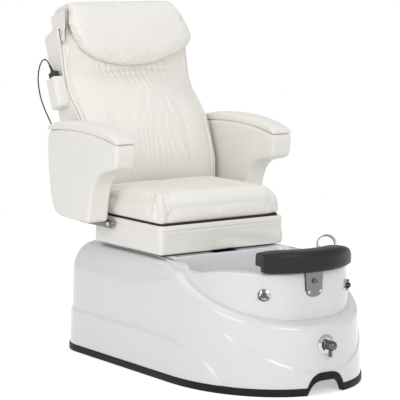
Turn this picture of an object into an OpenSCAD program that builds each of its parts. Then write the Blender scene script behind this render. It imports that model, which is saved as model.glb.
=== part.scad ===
// Pedicure spa chair: a reclining massage seat that slides on a moulded foot-bath tub.
// The sitter faces -Y, +Z is up, and +X is the sitter's left. All sizes are in millimetres.

/* [Tub] */
// Half of the tub's width at the floor
tub_half_w = 347; // [320:1:370]
// Length of the tub at the floor
tub_len = 1223; // [1180:1:1280]
// Length of the curved front of the tub
tub_nose_len = 450; // [420:1:500]
// Fullness of the curved front, 2 for an ellipse
nose_fullness = 2.1; // [2:0.05:2.4]
// Radius of the rear corners
tub_corner_r = 149; // [120:1:170]
// Height of the deck that carries the seat
deck_z = 412; // [395:1:430]
// Thickness of the moulded shell
shell_t = 7; // [5:0.5:9]
// Height of the swept edge at the front centre
sweep_front_z = 249; // [225:1:270]
// Depth of the lower styling steps
ridge_step = 5; // [3:0.5:7]
// Height of the rubber base trim
trim_h = 27; // [20:1:34]
// Half of the toe arch's width
arch_half_w = 78; // [60:1:95]
// Height of the toe arch
arch_h = 48; // [35:1:58]

/* [Foot basin] */
// Half of the basin's width
basin_half_w = 262; // [235:1:270]
// Height of the basin floor
basin_floor_z = 150; // [120:1:180]
// Width of the rim behind the basin's front wall
basin_front_rim = 112; // [104:1:125]

/* [Seat] */
// Half of the skirt's width
skirt_half_w = 272; // [262:1:276]
// Depth of the skirt from front to back
skirt_depth = 447; // [430:1:455]
// Height of the skirt
skirt_h = 105; // [98:1:112]
// Thickness of the skirt's padded wall
skirt_wall = 14; // [10:1:18]
// Thickness of the seat cushion
cushion_h = 92; // [84:1:104]
// Travel of the seat slide
slide_travel = 120; // [60:1:130]

/* [Back] */
// Lean of the back at rest
back_lean = 20; // [14:0.5:26]
// Half of the back shell's width
back_half_w = 285; // [280:0.5:287]
// Height of the back shell along its lean
back_h = 702; // [690:1:720]
// Wall of the back shell
back_wall = 8; // [6:1:10]
// Bulge of the back pad between its side seams
pad_crown = 30; // [15:1:40]
// Diameter of the massage guide rods
rod_d = 12; // [10:0.5:14]
// Radius of a massage roller
roller_r = 23; // [18:0.5:24]

/* [Arms] */
// Distance from the centre to an arm's inner face
arm_inner = 303; // [302:0.5:312]
// Thickness of an arm
arm_t = 87; // [75:1:100]
// Diameter of the arm pivot pins
arm_pin_d = 16; // [12:0.5:20]

/* [Fittings] */
// Radius of a tap escutcheon
tap_r = 21; // [17:0.5:26]
// Radius of the mixer escutcheon
mixer_r = 34; // [28:0.5:38]
// Outer radius of the spray holder ring
ring_r = 34; // [30:0.5:40]
// Bore radius of the spray holder ring
ring_bore_r = 30; // [25:0.5:31]
// Diameter of the drain opening
drain_d = 46; // [40:1:56]
// Diameter of the handset cord
cord_d = 5; // [4:0.5:6]

/* [Hidden] */
$fn = 48;

// Distance from the tub's mid-length to the centre of the whole chair's box.
centre_y = -82.9;
// Running clearance of a pin in its bore, and clearance between soft neighbours.
run_fit = 0.05;
soft_gap = 0.4;
// Clearance round a fitting let into its seat.
seat_gap = 0.3;

// Tub layout along Y, from the tub's mid-length.
tub_rear = tub_len / 2 + 8.5;
tub_front = tub_rear - tub_len;
nose_y = tub_front + tub_nose_len;

// Counts of the tub outline's stations: nose, side, corner and half of the rear edge.
nose_n = 26;
side_n = 5;
corner_n = 5;
rear_n = 2;
half_n = nose_n + side_n + corner_n + rear_n;
ring_n = 2 * half_n;

function smooth(t) = let (c = min(max(t, 0), 1)) c * c * (3 - 2 * c);
function mix(a, b, t) = a + (b - a) * t;

// A point of a half outline: station j of half_n, for any tub-like plan.
function half_pt(j, w, yr, yf, ym, rc) =
    j <= nose_n
    ? let (a = 90 * pow(j / nose_n, 1.5), e = 2 / nose_fullness)
        [-w * pow(sin(a), e), ym - (ym - yf) * pow(max(cos(a), 0), e)]
    : j <= nose_n + side_n
    ? [-w, mix(ym, yr - rc, (j - nose_n) / side_n)]
    : j <= nose_n + side_n + corner_n
    ? let (a = 90 * (j - nose_n - side_n) / corner_n)
        [-w + rc - rc * cos(a), yr - rc + rc * sin(a)]
    : [(-w + rc) * (half_n - j) / rear_n, yr];

function plan_pt(i, w, yr, yf, ym, rc) =
    i <= half_n
    ? half_pt(i, w, yr, yf, ym, rc)
    : let (p = half_pt(ring_n - i, w, yr, yf, ym, rc)) [-p[0], p[1]];

function tub_pt(i, inset) =
    plan_pt(i, tub_half_w - inset, tub_rear - inset, tub_front + inset, nose_y,
        max(tub_corner_r - inset, 25));

// Distance along the outline from the front centre to each station.
RUN = [for (j = 0, s = 0; j <= half_n;
    s = s + (j < half_n ? norm(tub_pt(j + 1, 0) - tub_pt(j, 0)) : 0), j = j + 1) s];
function run_at(i) = RUN[min(i, ring_n - i)];

// Heights and insets of the tub wall's swept features, by distance s along the outline.
sweep_end = 675;
rim_r = 8;
function rim_z(s) = deck_z - 22 * exp(-pow((s - 580) / 130, 2));
function sweep_z(s) =
    min(s < sweep_end
        ? mix(sweep_front_z, deck_z - 2, pow(s / sweep_end, 2.3))
        : deck_z, rim_z(s) - rim_r + 2);
function rear_blend(s) = smooth((s - 600) / 300);
function shoulder_h(s) = mix(30, 112, rear_blend(s));
function shoulder_w(s) = mix(34 + 30 * exp(-pow(s / 150, 2)), 85, rear_blend(s));
function arch_z(s) = s < arch_half_w ? arch_h * (1 - pow(s / arch_half_w, 4)) : 0;
function side_ridge_z(s) =
    s < 380 ? -60 : s < 750 ? 158 * sqrt(1 - pow((750 - s) / 370, 2)) : 158;
function nose_ridge_z(s) = 70 + 115 * pow(s / 340, 1.5);
function wall_inset(s, z) =
    0.03 * z + ridge_step * (smooth((z - side_ridge_z(s)) / 24 + 0.5)
    + max(smooth((z - nose_ridge_z(s)) / 22 + 0.5), smooth((s - 330) / 80)) - 1);

function low_pt(i, f) =
    let (s = run_at(i), z = mix(arch_z(s) + trim_h, sweep_z(s) - shoulder_h(s), f))
    concat(tub_pt(i, wall_inset(s, z)), z);
function shoulder_pt(i, a, t) =
    let (s = run_at(i), z0 = sweep_z(s) - shoulder_h(s),
        inset = wall_inset(s, z0) + shoulder_w(s) * (1 - cos(a)) + t * cos(a))
    concat(tub_pt(i, inset), z0 + shoulder_h(s) * sin(a) - t * sin(a));
function upper_inset(s, g) =
    let (z1 = sweep_z(s))
    wall_inset(s, z1 - shoulder_h(s)) + shoulder_w(s) + 2 * g
    + 0.03 * g * max(rim_z(s) - rim_r - z1, 0);
function upper_pt(i, g, t) =
    let (s = run_at(i), z1 = sweep_z(s))
    concat(tub_pt(i, upper_inset(s, g) + t), z1 + g * max(rim_z(s) - rim_r - z1, 0));
function rim_pt(i, a) =
    let (s = run_at(i))
    concat(tub_pt(i, upper_inset(s, 1) + rim_r * (1 - cos(a))),
        rim_z(s) - rim_r + rim_r * sin(a));

// Basin outline with an inset, and its rear edge under the front of the seat.
basin_rear = -22;
basin_front = tub_front + basin_front_rim;
basin_corner_r = 50;
function basin_xy(i, inset) =
    plan_pt(i, basin_half_w - inset, basin_rear - inset, basin_front + inset, nose_y,
        max(basin_corner_r - inset / 2, 20));
function basin_pt(i, inset, dz) = concat(basin_xy(i, inset), rim_z(run_at(i)) + dz);
function floor_pt(i, inset, z) = concat(basin_xy(i, inset), z);

function ring(f) = [for (i = [0:ring_n - 1]) f(i)];
SHELL_RINGS = [
    ring(function (i) floor_pt(i, 86, basin_floor_z)),
    ring(function (i) floor_pt(i, 58, basin_floor_z + 6)),
    ring(function (i) floor_pt(i, 46, basin_floor_z + 24)),
    ring(function (i) floor_pt(i, 28, mix(basin_floor_z, deck_z, 0.55))),
    ring(function (i) basin_pt(i, 9, -14)),
    ring(function (i) basin_pt(i, 4, -4)),
    ring(function (i) basin_pt(i, 0, 0)),
    ring(function (i) rim_pt(i, 90)),
    ring(function (i) rim_pt(i, 55)),
    ring(function (i) rim_pt(i, 25)),
    ring(function (i) upper_pt(i, 1, 0)),
    ring(function (i) upper_pt(i, 0.5, 0)),
    ring(function (i) shoulder_pt(i, 90, 0)),
    ring(function (i) shoulder_pt(i, 67, 0)),
    ring(function (i) shoulder_pt(i, 45, 0)),
    ring(function (i) shoulder_pt(i, 22, 0)),
    for (f = [1, 0.9, 0.8, 0.7, 0.6, 0.5, 0.4, 0.3, 0.2, 0.1, 0]) ring(function (i) low_pt(i, f)),
    ring(function (i) let (p = low_pt(i, 0)) concat(tub_pt(i, 2 * ridge_step + shell_t + 2), p[2])),
    ring(function (i) let (p = low_pt(i, 0.5)) concat(tub_pt(i, 2 * ridge_step + shell_t + 8), p[2])),
    ring(function (i) shoulder_pt(i, 0, shell_t + 2)),
    ring(function (i) shoulder_pt(i, 45, shell_t)),
    ring(function (i) shoulder_pt(i, 75, shell_t)),
    ring(function (i) let (s = run_at(i))
        concat(tub_pt(i, upper_inset(s, 0) + shell_t),
            min(sweep_z(s) - shell_t, rim_z(s) - rim_r - shell_t - 2))),
    ring(function (i) let (s = run_at(i))
        concat(tub_pt(i, upper_inset(s, 1) + shell_t), rim_z(s) - rim_r - shell_t)),
    ring(function (i) let (s = run_at(i))
        concat(tub_pt(i, upper_inset(s, 1) + shell_t + 2), rim_z(s) - shell_t)),
    ring(function (i) basin_pt(i, -shell_t, -shell_t)),
    ring(function (i) basin_pt(i, 1 - shell_t, -14 - shell_t)),
    ring(function (i) floor_pt(i, 28 - shell_t, mix(basin_floor_z, deck_z, 0.55) - 3)),
    ring(function (i) floor_pt(i, 46 - shell_t, basin_floor_z + 20)),
    ring(function (i) floor_pt(i, 60 - shell_t, basin_floor_z - shell_t)),
];

// A closed skin over a list of rings with the same number of points. Each end is
// closed by a fan about its hub, which is the ring's middle unless it is given.
function middle(ring) = [for (p = ring) 1] * ring / len(ring);
module skin(rings, first_hub = undef, last_hub = undef) {
    n = len(rings[0]);
    k = len(rings);
    hubs = [is_undef(first_hub) ? middle(rings[0]) : first_hub,
        is_undef(last_hub) ? middle(rings[k - 1]) : last_hub];
    sides = [for (r = [0:k - 2], i = [0:n - 1]) let (j = (i + 1) % n)
        each [[r * n + i, (r + 1) * n + j, r * n + j],
            [r * n + i, (r + 1) * n + i, (r + 1) * n + j]]];
    ends = [for (i = [0:n - 1]) let (j = (i + 1) % n)
        each [[k * n, i, j], [k * n + 1, (k - 1) * n + j, (k - 1) * n + i]]];
    polyhedron(concat([for (r = rings) each r], hubs), concat(sides, ends), convexity = 10);
}

// Places a shape built from the tub's mid-length into the chair's frame.
module placed() translate([0, centre_y, 0]) children();

// A rectangle with rounded corners, centred on the origin.
module rounded_rect(x, y, r) {
    square([x - 2 * r, y], center = true);
    square([x, y - 2 * r], center = true);
    for (sx = [-1, 1], sy = [-1, 1]) translate([sx * (x / 2 - r), sy * (y / 2 - r)]) circle(r);
}

// A bar between two corners.
module bar(a, b) translate(a) cube(b - a);

// A round rod along X, Y or Z.
module rod_x(r, x0, x1, y, z) translate([x0, y, z]) rotate([0, 90, 0]) cylinder(r = r, h = x1 - x0);
module rod_y(r, y0, y1, x, z) translate([x, y1, z]) rotate([90, 0, 0]) cylinder(r = r, h = y1 - y0);
module rod_z(r, z0, z1, x, y) translate([x, y, z0]) cylinder(r = r, h = z1 - z0);

// A point and its outward turn on the tub's nose at an inset.
function nose_at(x, inset) =
    let (w = tub_half_w - inset, b = tub_nose_len - inset)
    nose_y - b * pow(1 - pow(abs(x) / w, nose_fullness), 1 / nose_fullness);

// Places a shape, built along +Z, on the nose so that +Z points outward.
module on_nose(x, inset, z)
    let (slope = (nose_at(x + 1, inset) - nose_at(x - 1, inset)) / 2)
    translate([x, nose_at(x, inset), z]) rotate([90, 0, atan(slope)]) children();

/* ---- Tub and its fixed pieces ---- */
channel_half_w = 55;
channel_front = -14;
channel_rear = 452;
channel_floor_z = deck_z - 14;
tap_x = 173;
tap_z = 339;
tap_inset = 58.5;
mixer_z = 170;
mixer_inset = 13;
drain_y = -250;
module tub_shell() color("whitesmoke") placed() difference() {
    skin(SHELL_RINGS);
    bar([-channel_half_w - seat_gap, channel_front - seat_gap, channel_floor_z - 10],
        [channel_half_w + seat_gap, channel_rear + seat_gap, deck_z + 5]);
    for (sx = [-1, 1]) on_nose(sx * tap_x, tap_inset, tap_z) {
        translate([0, 0, -30]) cylinder(r = tap_body_r + seat_gap, h = 60);
        cylinder(r = tap_r + seat_gap, h = 30);
    }
    on_nose(0, mixer_inset, mixer_z) {
        translate([0, 0, -40]) cylinder(r = mixer_body_r + seat_gap, h = 80);
        cylinder(r = mixer_r + seat_gap, h = 30);
    }
    rod_z(drain_d / 2, basin_floor_z - 20, basin_floor_z + 5, 0, drain_y);
    rod_z(spray_base_r + seat_gap, spray_seat_z, deck_z + 20, spray_x, spray_y);
    rod_z(spray_stud_r + seat_gap, spray_seat_z - 20, deck_z, spray_x, spray_y);
    translate([0, plate_y, 0]) rotate([90, 0, 0]) linear_extrude(30) plate_outline(seat_gap);
    for (sx = [-1, 1]) rod_y(3 + seat_gap, plate_y - 2, plate_y + 15, sx * plate_screw_x, plate_screw_z);
    at_jets() translate([0, 0, -12]) cylinder(r = jet_tail_r + seat_gap, h = 24);
}

function trim_ring(inset, dz) =
    ring(function (i) concat(tub_pt(i, inset), arch_z(run_at(i)) + dz));
module base_trim() color("#262626") placed() {
    rings = [trim_ring(-1, 0), trim_ring(-3, 4), trim_ring(-3, trim_h - 5),
        trim_ring(0, trim_h), trim_ring(18, trim_h), trim_ring(18, 0)];
    n = ring_n;
    k = len(rings);
    polyhedron([for (r = rings) each r],
        [for (r = [0:k - 1], i = [0:n - 1]) let (j = (i + 1) % n, q = (r + 1) % k)
            each [[r * n + i, r * n + j, q * n + j], [r * n + i, q * n + j, q * n + i]]],
        convexity = 10);
}

leg_x = 170;
leg_front = 75;
leg_rear = 485;
tube = 30;
foot_top = 34;
pump_bed_z = 90;
module base_frame() color("dimgray") placed() difference() {
    union() {
        for (sx = [-1, 1]) {
            translate([sx * leg_x, (leg_front + leg_rear) / 2, channel_floor_z - tube / 2])
                cube([tube, leg_rear - leg_front + tube, tube], center = true);
            for (y = [leg_front, leg_rear])
                bar([sx * leg_x - tube / 2, y - tube / 2, foot_top],
                    [sx * leg_x + tube / 2, y + tube / 2, channel_floor_z - tube]);
        }
        for (y = [leg_front, leg_rear]) {
            bar([-leg_x, y - tube / 2, channel_floor_z - tube], [leg_x, y + tube / 2, channel_floor_z]);
            bar([-leg_x, y - tube / 2, pump_bed_z - tube], [leg_x, y + tube / 2, pump_bed_z]);
        }
        for (sx = [-1, 1]) {
            bar([sx * leg_x - tube / 2, leg_front + 65, channel_floor_z],
                [sx * leg_x + tube / 2, leg_rear, deck_z - shell_t - seat_gap]);
            bar([sx * 45 - tube / 2, leg_front, pump_bed_z - tube],
                [sx * 45 + tube / 2, leg_rear, pump_bed_z]);
        }
    }
    for (sx = [-1, 1], y = [leg_front, leg_rear])
        rod_z(6 + run_fit, foot_top - 1, foot_top + 22, sx * leg_x, y);
}

module levelling_feet() color("#303030") placed()
    for (sx = [-1, 1], y = [leg_front, leg_rear]) {
        rod_z(24, 0, 10, sx * leg_x, y);
        rod_z(6, 10, foot_top + 20, sx * leg_x, y);
        rod_z(10, foot_top - 10, foot_top, sx * leg_x, y);
    }

channel_wall = 3;
module slide_channel() color("#4a4a4c") placed() difference() {
    bar([-channel_half_w, channel_front, channel_floor_z], [channel_half_w, channel_rear, deck_z]);
    bar([-channel_half_w + channel_wall, channel_front + channel_wall, channel_floor_z + channel_wall],
        [channel_half_w - channel_wall, channel_rear - channel_wall, deck_z + 1]);
}

/* ---- Water fittings ---- */
jet_z = 235;
jet_y = -120;
jet_r = 17;
jet_tail_r = 10;
jet_tail = 33;
// The basin wall's slope between its mid ring and the ring at its foot.
wall_mid_z = mix(basin_floor_z, deck_z, 0.55);
wall_slope = (46 - 28) / (wall_mid_z - basin_floor_z - 24);
jet_x = basin_half_w - 28 - wall_slope * (wall_mid_z - jet_z);
module at_jets() for (sx = [-1, 1])
    translate([sx * jet_x, jet_y, jet_z]) rotate([0, -sx * (90 - atan(wall_slope)), 0]) children();
module jet_nozzles() color("gainsboro") placed() at_jets() difference() {
    union() {
        translate([0, 0, 0.1]) cylinder(r = jet_r, h = 3.9);
        translate([0, 0, 4]) cylinder(r1 = jet_r, r2 = jet_r - 5, h = 4);
        translate([0, 0, -jet_tail]) cylinder(r = jet_tail_r, h = jet_tail + 1);
    }
    translate([0, 0, 2]) cylinder(r = 7, h = 7);
}

pump_y = 190;
pump_z = pump_bed_z + 100;
pipe_r = 16;
pipe_z = pump_z + 118;
pipe_x = jet_x + 50;
pipe_y = pump_y - 70;
module jet_pump() color("#3b4a5c") placed() difference() {
    union() {
        rod_y(62, pump_y - 50, pump_y + 150, 0, pump_z);
        rod_y(78, pump_y - 90, pump_y - 50, 0, pump_z);
        bar([-60, pump_y - 40, pump_bed_z], [60, pump_y + 130, pump_z - 50]);
        rod_z(20, pump_z + 70, pipe_z - 6, 0, pipe_y);
    }
    rod_x(pipe_r, -40, 40, pipe_y, pipe_z);
}

module jet_pipes() color("white") placed() {
    rod_x(pipe_r, -pipe_x, pipe_x, pipe_y, pipe_z);
    for (sx = [-1, 1]) {
        rod_y(pipe_r, jet_y, pipe_y, sx * pipe_x, pipe_z);
        translate([sx * pipe_x, pipe_y, pipe_z]) sphere(pipe_r);
        translate([sx * pipe_x, jet_y, pipe_z]) sphere(pipe_r);
        rod_z(pipe_r - 2, jet_z - 8, pipe_z, sx * pipe_x, jet_y);
    }
    at_jets() translate([0, 0, -jet_tail - 17]) cylinder(r = 12, h = 17);
}

module drain_fitting() color("silver") placed() difference() {
    union() {
        rod_z(32, basin_floor_z, basin_floor_z + 3, 0, drain_y);
        rod_z(drain_d / 2 - 0.3, basin_floor_z - 60, basin_floor_z + 1, 0, drain_y);
        rod_z(36, basin_floor_z - shell_t - 8, basin_floor_z - shell_t, 0, drain_y);
        rod_z(20, 62, basin_floor_z - 55, 0, drain_y);
    }
    rod_z(18, basin_floor_z - 50, basin_floor_z + 5, 0, drain_y);
    rod_z(17, 60, basin_floor_z, 0, drain_y);
}

module drain_plug() color("silver") placed() {
    rod_z(24, basin_floor_z + 3.2, basin_floor_z + 7, 0, drain_y);
    rod_z(21, basin_floor_z + 7, basin_floor_z + 10, 0, drain_y);
    rod_z(5, basin_floor_z - 38, basin_floor_z + 4, 0, drain_y);
    for (a = [0, 90]) translate([0, drain_y, basin_floor_z - 22]) rotate([0, 0, a])
        cube([30, 3, 30], center = true);
}

module at_taps() for (sx = [-1, 1]) on_nose(sx * tap_x, tap_inset, tap_z) children();
tap_body_r = 10.5;
module tap_escutcheons() color("silver") placed() at_taps() difference() {
    union() {
        cylinder(r = tap_r, h = 2.5);
        translate([0, 0, 2.5]) cylinder(r1 = tap_r, r2 = tap_r - 7, h = 4);
    }
    translate([0, 0, -1]) cylinder(r = 8 + run_fit, h = 9);
}
module tap_valves() color("goldenrod") placed() at_taps() {
    translate([0, 0, -34]) cylinder(r = tap_body_r, h = 34);
    translate([0, 0, -1]) cylinder(r = 8, h = 8);
    translate([0, 0, -30]) cylinder(r = tap_body_r + 4.5, h = 17);
    translate([0, 0, 7]) cylinder(r = 4, h = 8);
}
module tap_knob() difference() {
    union() {
        translate([0, 0, 7.3]) cylinder(r = 9, h = 14);
        for (a = [90, 210, 330]) rotate([0, 0, a]) {
            translate([0, -4, 9]) cube([17, 8, 9]);
            translate([17, 0, 9]) cylinder(r = 4, h = 9);
        }
        translate([0, 0, 18]) cylinder(r1 = 9, r2 = 5, h = 6);
    }
    translate([0, 0, 7]) cylinder(r = 4 + run_fit, h = 8.3);
}
module tap_knob_right() color("#8a8a8c") placed() on_nose(-tap_x, tap_inset, tap_z) tap_knob();
module tap_knob_left() color("#8a8a8c") placed() on_nose(tap_x, tap_inset, tap_z) tap_knob();

module mixer_escutcheon() color("silver") placed() on_nose(0, mixer_inset, mixer_z) difference() {
    union() {
        cylinder(r = mixer_r, h = 3);
        translate([0, 0, 3]) cylinder(r1 = mixer_r, r2 = mixer_r - 12, h = 5);
    }
    translate([0, 0, -1]) cylinder(r = 16 + run_fit, h = 10);
}
mixer_body_r = 21.5;
module mixer_valve() color("goldenrod") placed() on_nose(0, mixer_inset, mixer_z) {
    translate([0, 0, -60]) cylinder(r = mixer_body_r, h = 60);
    translate([0, 0, -1]) cylinder(r = 16, h = 12);
    translate([0, 0, 11]) cylinder(r = 6, h = 12);
    for (sx = [-1, 1]) translate([sx * 32, 0, -42]) rotate([0, 90, 0])
        cylinder(r = 10, h = 24, center = true);
}
module mixer_handle() color("silver") placed() on_nose(0, mixer_inset, mixer_z) difference() {
    union() {
        translate([0, 0, 11.3]) cylinder(r = 17, h = 26);
        translate([0, 0, 37.3]) intersection() {
            sphere(17);
            cylinder(r = 17, h = 17);
        }
        translate([-5, -36, 24]) cube([10, 24, 8]);
        translate([0, -36, 24]) cylinder(r = 5, h = 8);
    }
    translate([0, 0, 10]) cylinder(r = 6 + run_fit, h = 13.4);
}

spray_y = -262;
spray_x = basin_half_w;
spray_base_r = 10;
spray_stud_r = 5;
spray_seat_z = rim_z(550) - 2;
spray_z = spray_seat_z + ring_r + 25;
ring_w = 30;
spray_turn = -50;
module at_spray() translate([spray_x, spray_y, spray_z]) rotate([90, 0, spray_turn]) children();
module spray_ring() color("silver") placed() difference() {
    union() {
        at_spray() cylinder(r = ring_r, h = ring_w, center = true);
        rod_z(spray_base_r, spray_seat_z, spray_seat_z + 5, spray_x, spray_y);
        rod_z(6, spray_seat_z, spray_z - ring_r + 2, spray_x, spray_y);
        rod_z(spray_stud_r, spray_seat_z - 18, spray_seat_z + 1, spray_x, spray_y);
    }
    at_spray() cylinder(r = ring_bore_r, h = ring_w + 10, center = true);
}

/* ---- Footrest ---- */
plate_inset = 84.2;
plate_w = 76;
plate_foot_w = 66;
plate_low = 324;
plate_top = deck_z + 8;
plate_t = 10;
plate_screw_x = 24;
plate_screw_z = plate_low + 18;
bolt_z = plate_low + 54;
stem_w = 34;
stem_t = 5.2;
stem_back = 0.4;
stem_low = plate_low + 12;
stem_plate_z = deck_z + 11;
stem_plate_w = 120;
plate_y = nose_at(0, plate_inset);
stem_front = plate_y - stem_back - stem_t;
module plate_outline(g) {
    r = plate_foot_w / 2 + g;
    w = plate_w / 2 + g;
    polygon([[-w, plate_top + g], [w, plate_top + g],
        for (a = [0:-15:-180]) [r * cos(a), plate_low + 22 + (22 + g) * sin(a)]]);
}
module footrest_bracket() color("gray") placed() difference() {
    translate([0, plate_y, 0]) rotate([90, 0, 0]) linear_extrude(plate_t) plate_outline(0);
    bar([-stem_w / 2 - seat_gap, stem_front - seat_gap, stem_low - seat_gap],
        [stem_w / 2 + seat_gap, plate_y + 1, plate_top + 1]);
    rod_y(5 + run_fit, plate_y - 20, plate_y, 0, bolt_z);
    for (sx = [-1, 1]) rod_y(3, plate_y - 20, plate_y + 1, sx * plate_screw_x, plate_screw_z);
}
module bracket_screws() color("silver") placed() for (sx = [-1, 1]) {
    rod_y(3, plate_y - plate_t, plate_y + 8, sx * plate_screw_x, plate_screw_z);
    rod_y(5, plate_y - plate_t - 2, plate_y - plate_t, sx * plate_screw_x, plate_screw_z);
}
module lock_bolt() color("silver") placed() difference() {
    union() {
        rod_y(5, plate_y - plate_t - 4, stem_front - seat_gap, 0, bolt_z);
        rod_y(9, plate_y - plate_t - 5, plate_y - plate_t - seat_gap, 0, bolt_z);
    }
    bar([-6, plate_y - plate_t - 6, bolt_z - 1], [6, plate_y - plate_t - 4, bolt_z + 1]);
}
module footrest_stem() color("silver") placed() {
    bar([-stem_w / 2, stem_front, stem_low], [stem_w / 2, plate_y - stem_back, stem_plate_z + 6]);
    bar([-stem_plate_w / 2, plate_y - 2, stem_plate_z], [stem_plate_w / 2, plate_y + 36, stem_plate_z + 6]);
}

// Sections of the footrest pad: a front skirt ahead of the wall, and a rear part on the stem's plate.
pad_half_w = 205;
pad_depth = 88;
pad_skirt_d = 35;
pad_inset = 35;
pad_seat = 17;
rest_stations = 16;
function rest_h(x) = mix(52, 76, 1 - pow(abs(x) / pad_half_w, 8));
function rest_section(h) =
    [[0, 2], [0, h - 24], [6, h - 8], [16, h - 2], [pad_depth / 2, h], [pad_depth - 16, h - 2],
        [pad_depth - 4, h - 12], [pad_depth, h - 28], [pad_depth, pad_seat], [pad_skirt_d, pad_seat],
        [pad_skirt_d, 2]];
function rest_pt(x, p) =
    let (slope = (nose_at(x + 1, pad_inset) - nose_at(x - 1, pad_inset)) / 2, a = 0.75 * atan(slope))
    [x - p[0] * sin(a), nose_at(x, pad_inset) + p[0] * cos(a), deck_z + p[1]];
module footrest_pad() color("#2a2a2a") placed() {
    xs = [for (k = [-rest_stations:rest_stations]) pad_half_w * sin(90 * k / rest_stations)];
    skin([for (x = xs) [for (p = rest_section(rest_h(x))) rest_pt(x, p)]],
        rest_pt(-pad_half_w, [20, 32]), rest_pt(pad_half_w, [20, 32]));
}

/* ---- Seat ---- */
seat_front = 8;
seat_rear = seat_front + skirt_depth;
skirt_z = deck_z + 5;
skirt_top = skirt_z + skirt_h;
board_z = skirt_top - 14;
cushion_z = skirt_top + 6;
pivot_y = 500;
pivot_z = 545;
carriage_front = channel_front + channel_wall + slide_travel + 3;
module seat_carriage() color("#5a5a5c") placed() {
    bar([-channel_half_w + channel_wall + seat_gap, carriage_front, channel_floor_z + channel_wall + seat_gap],
        [channel_half_w - channel_wall - seat_gap, channel_rear - 40, deck_z + 1]);
    bar([-90, carriage_front + 10, deck_z + 1], [90, channel_rear - 50, skirt_z]);
}
rail_x = skirt_half_w - 36;
frame_front = seat_front + 24;
frame_rear = seat_rear - 18;
pan_front = 150;
module seat_frame() color("#3c3c3e") placed() difference() {
    union() {
        for (sx = [-1, 1], z = [skirt_z, board_z - 25])
            bar([sx * rail_x - 14, frame_front, z], [sx * rail_x + 14, frame_rear, z + 25]);
        for (sx = [-1, 1], y = [frame_front, frame_rear - 28])
            bar([sx * rail_x - 14, y, skirt_z], [sx * rail_x + 14, y + 28, board_z]);
        bar([-rail_x, frame_front, skirt_z], [rail_x, frame_front + 28, skirt_z + 25]);
        bar([-rail_x, frame_front, board_z - 25], [rail_x, frame_front + 28, board_z]);
        bar([-rail_x, frame_rear - 28, skirt_z], [rail_x, frame_rear, skirt_z + 25]);
        bar([-rail_x, frame_rear - 28, board_z - 8], [rail_x, frame_rear, board_z]);
        bar([-rail_x, pan_front, skirt_z], [rail_x, pan_front + 150, skirt_z + 6]);
    }
    for (sx = [-1, 1], y = arm_bolt_ys)
        rod_x(5 + run_fit, sx * rail_x - 30, sx * rail_x + 30, y, arm_bolt_z);
}
module seat_board() color("#33291f") placed()
    translate([0, (seat_front + seat_rear) / 2, board_z])
        linear_extrude(cushion_z - board_z)
            rounded_rect(2 * (skirt_half_w - skirt_wall) - 1, skirt_depth - 2 * skirt_wall - 1, 8);
module seat_skirt() color("#f1ede4") placed() difference() {
    translate([0, (seat_front + seat_rear) / 2, skirt_z]) linear_extrude(skirt_h) difference() {
        rounded_rect(2 * skirt_half_w, skirt_depth, 16);
        rounded_rect(2 * (skirt_half_w - skirt_wall), skirt_depth - 2 * skirt_wall, 6);
    }
    for (sx = [-1, 1], y = arm_bolt_ys)
        rod_x(9, sx * skirt_half_w - 30, sx * skirt_half_w + 30, y, arm_bolt_z);
    bar([-20, seat_rear - 30, rod_z0 - 14], [20, seat_rear + 10, rod_z0 + 14]);
    for (sx = [-1, 1]) bar([sx * hinge_x - hinge_t / 2 - 1, seat_rear - 30, skirt_z + 24],
        [sx * hinge_x + hinge_t / 2 + 1, seat_rear + 10, skirt_top - 4]);
}

// Side profile of the seat cushion, drawn in by e at its rim.
function cushion_profile(e, crown) =
    let (y0 = seat_front + 2 + e, y1 = seat_rear - 4 - e, z0 = cushion_z + e * 0.6,
        z1 = cushion_z + cushion_h - e, r = 34)
    [for (a = [-90:22.5:0]) [y0 + 12 - 12 * cos(a), z0 + 12 + 12 * sin(a)],
        for (a = [0:15:90]) [y0 + r + 4 - (r + 4) * cos(a), z1 - r + r * sin(a)],
        for (t = [0.2, 0.4, 0.6, 0.8]) [mix(y0 + r, y1 - 14, t), z1 + crown * sin(180 * t)],
        for (a = [90:-30:0]) [y1 - 14 + 14 * cos(a), z1 - 14 + 14 * sin(a)],
        [y1, z0 + 4], [y1 - 6, z0]];
cushion_seam_x = 236;
module seat_cushion() color("#f4f1ea") placed() {
    w = skirt_half_w;
    edge = [[w, 10], [w - 2, 3], [w - 10, 0], [cushion_seam_x + 5, 0], [cushion_seam_x, 3],
        [cushion_seam_x - 5, 0], [170, 0], [85, 0], [0, 0]];
    right = [for (p = edge) [-p[0], p[1]]];
    left = [for (k = [len(edge) - 2:-1:0]) edge[k]];
    skin([for (p = concat(right, left))
        [for (q = cushion_profile(p[1], 9 * (1 - pow(p[0] / w, 2)))) [p[0], q[0], q[1]]]]);
}

/* ---- Arms and their brackets ---- */
arm_pivot_y = 500;
arm_pivot_z = 575;
arm_bolt_ys = [318, 420];
arm_bolt_z = skirt_top - 24;
bracket_x = 288.5;
bracket_t = 6;
arm_stop_z = 507;
module arm_brackets() color("gray") placed() for (sx = [-1, 1]) difference() {
    union() {
        translate([sx > 0 ? bracket_x : -bracket_x - bracket_t, 0, 0])
            rotate([90, 0, 90]) linear_extrude(bracket_t)
            polygon([[300, 482], [525, 482], [528, 600], [470, 600], [462, 512], [300, 512]]);
        bar([sx > 0 ? bracket_x : -330, 330, arm_stop_z - 5],
            [sx > 0 ? 330 : -bracket_x, 364, arm_stop_z - seat_gap]);
    }
    for (y = arm_bolt_ys) rod_x(5.5, sx * bracket_x - 20, sx * bracket_x + 20, y, arm_bolt_z);
    rod_x(arm_pin_d / 2, sx * bracket_x - 20, sx * bracket_x + 20, arm_pivot_y, arm_pivot_z);
}
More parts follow.
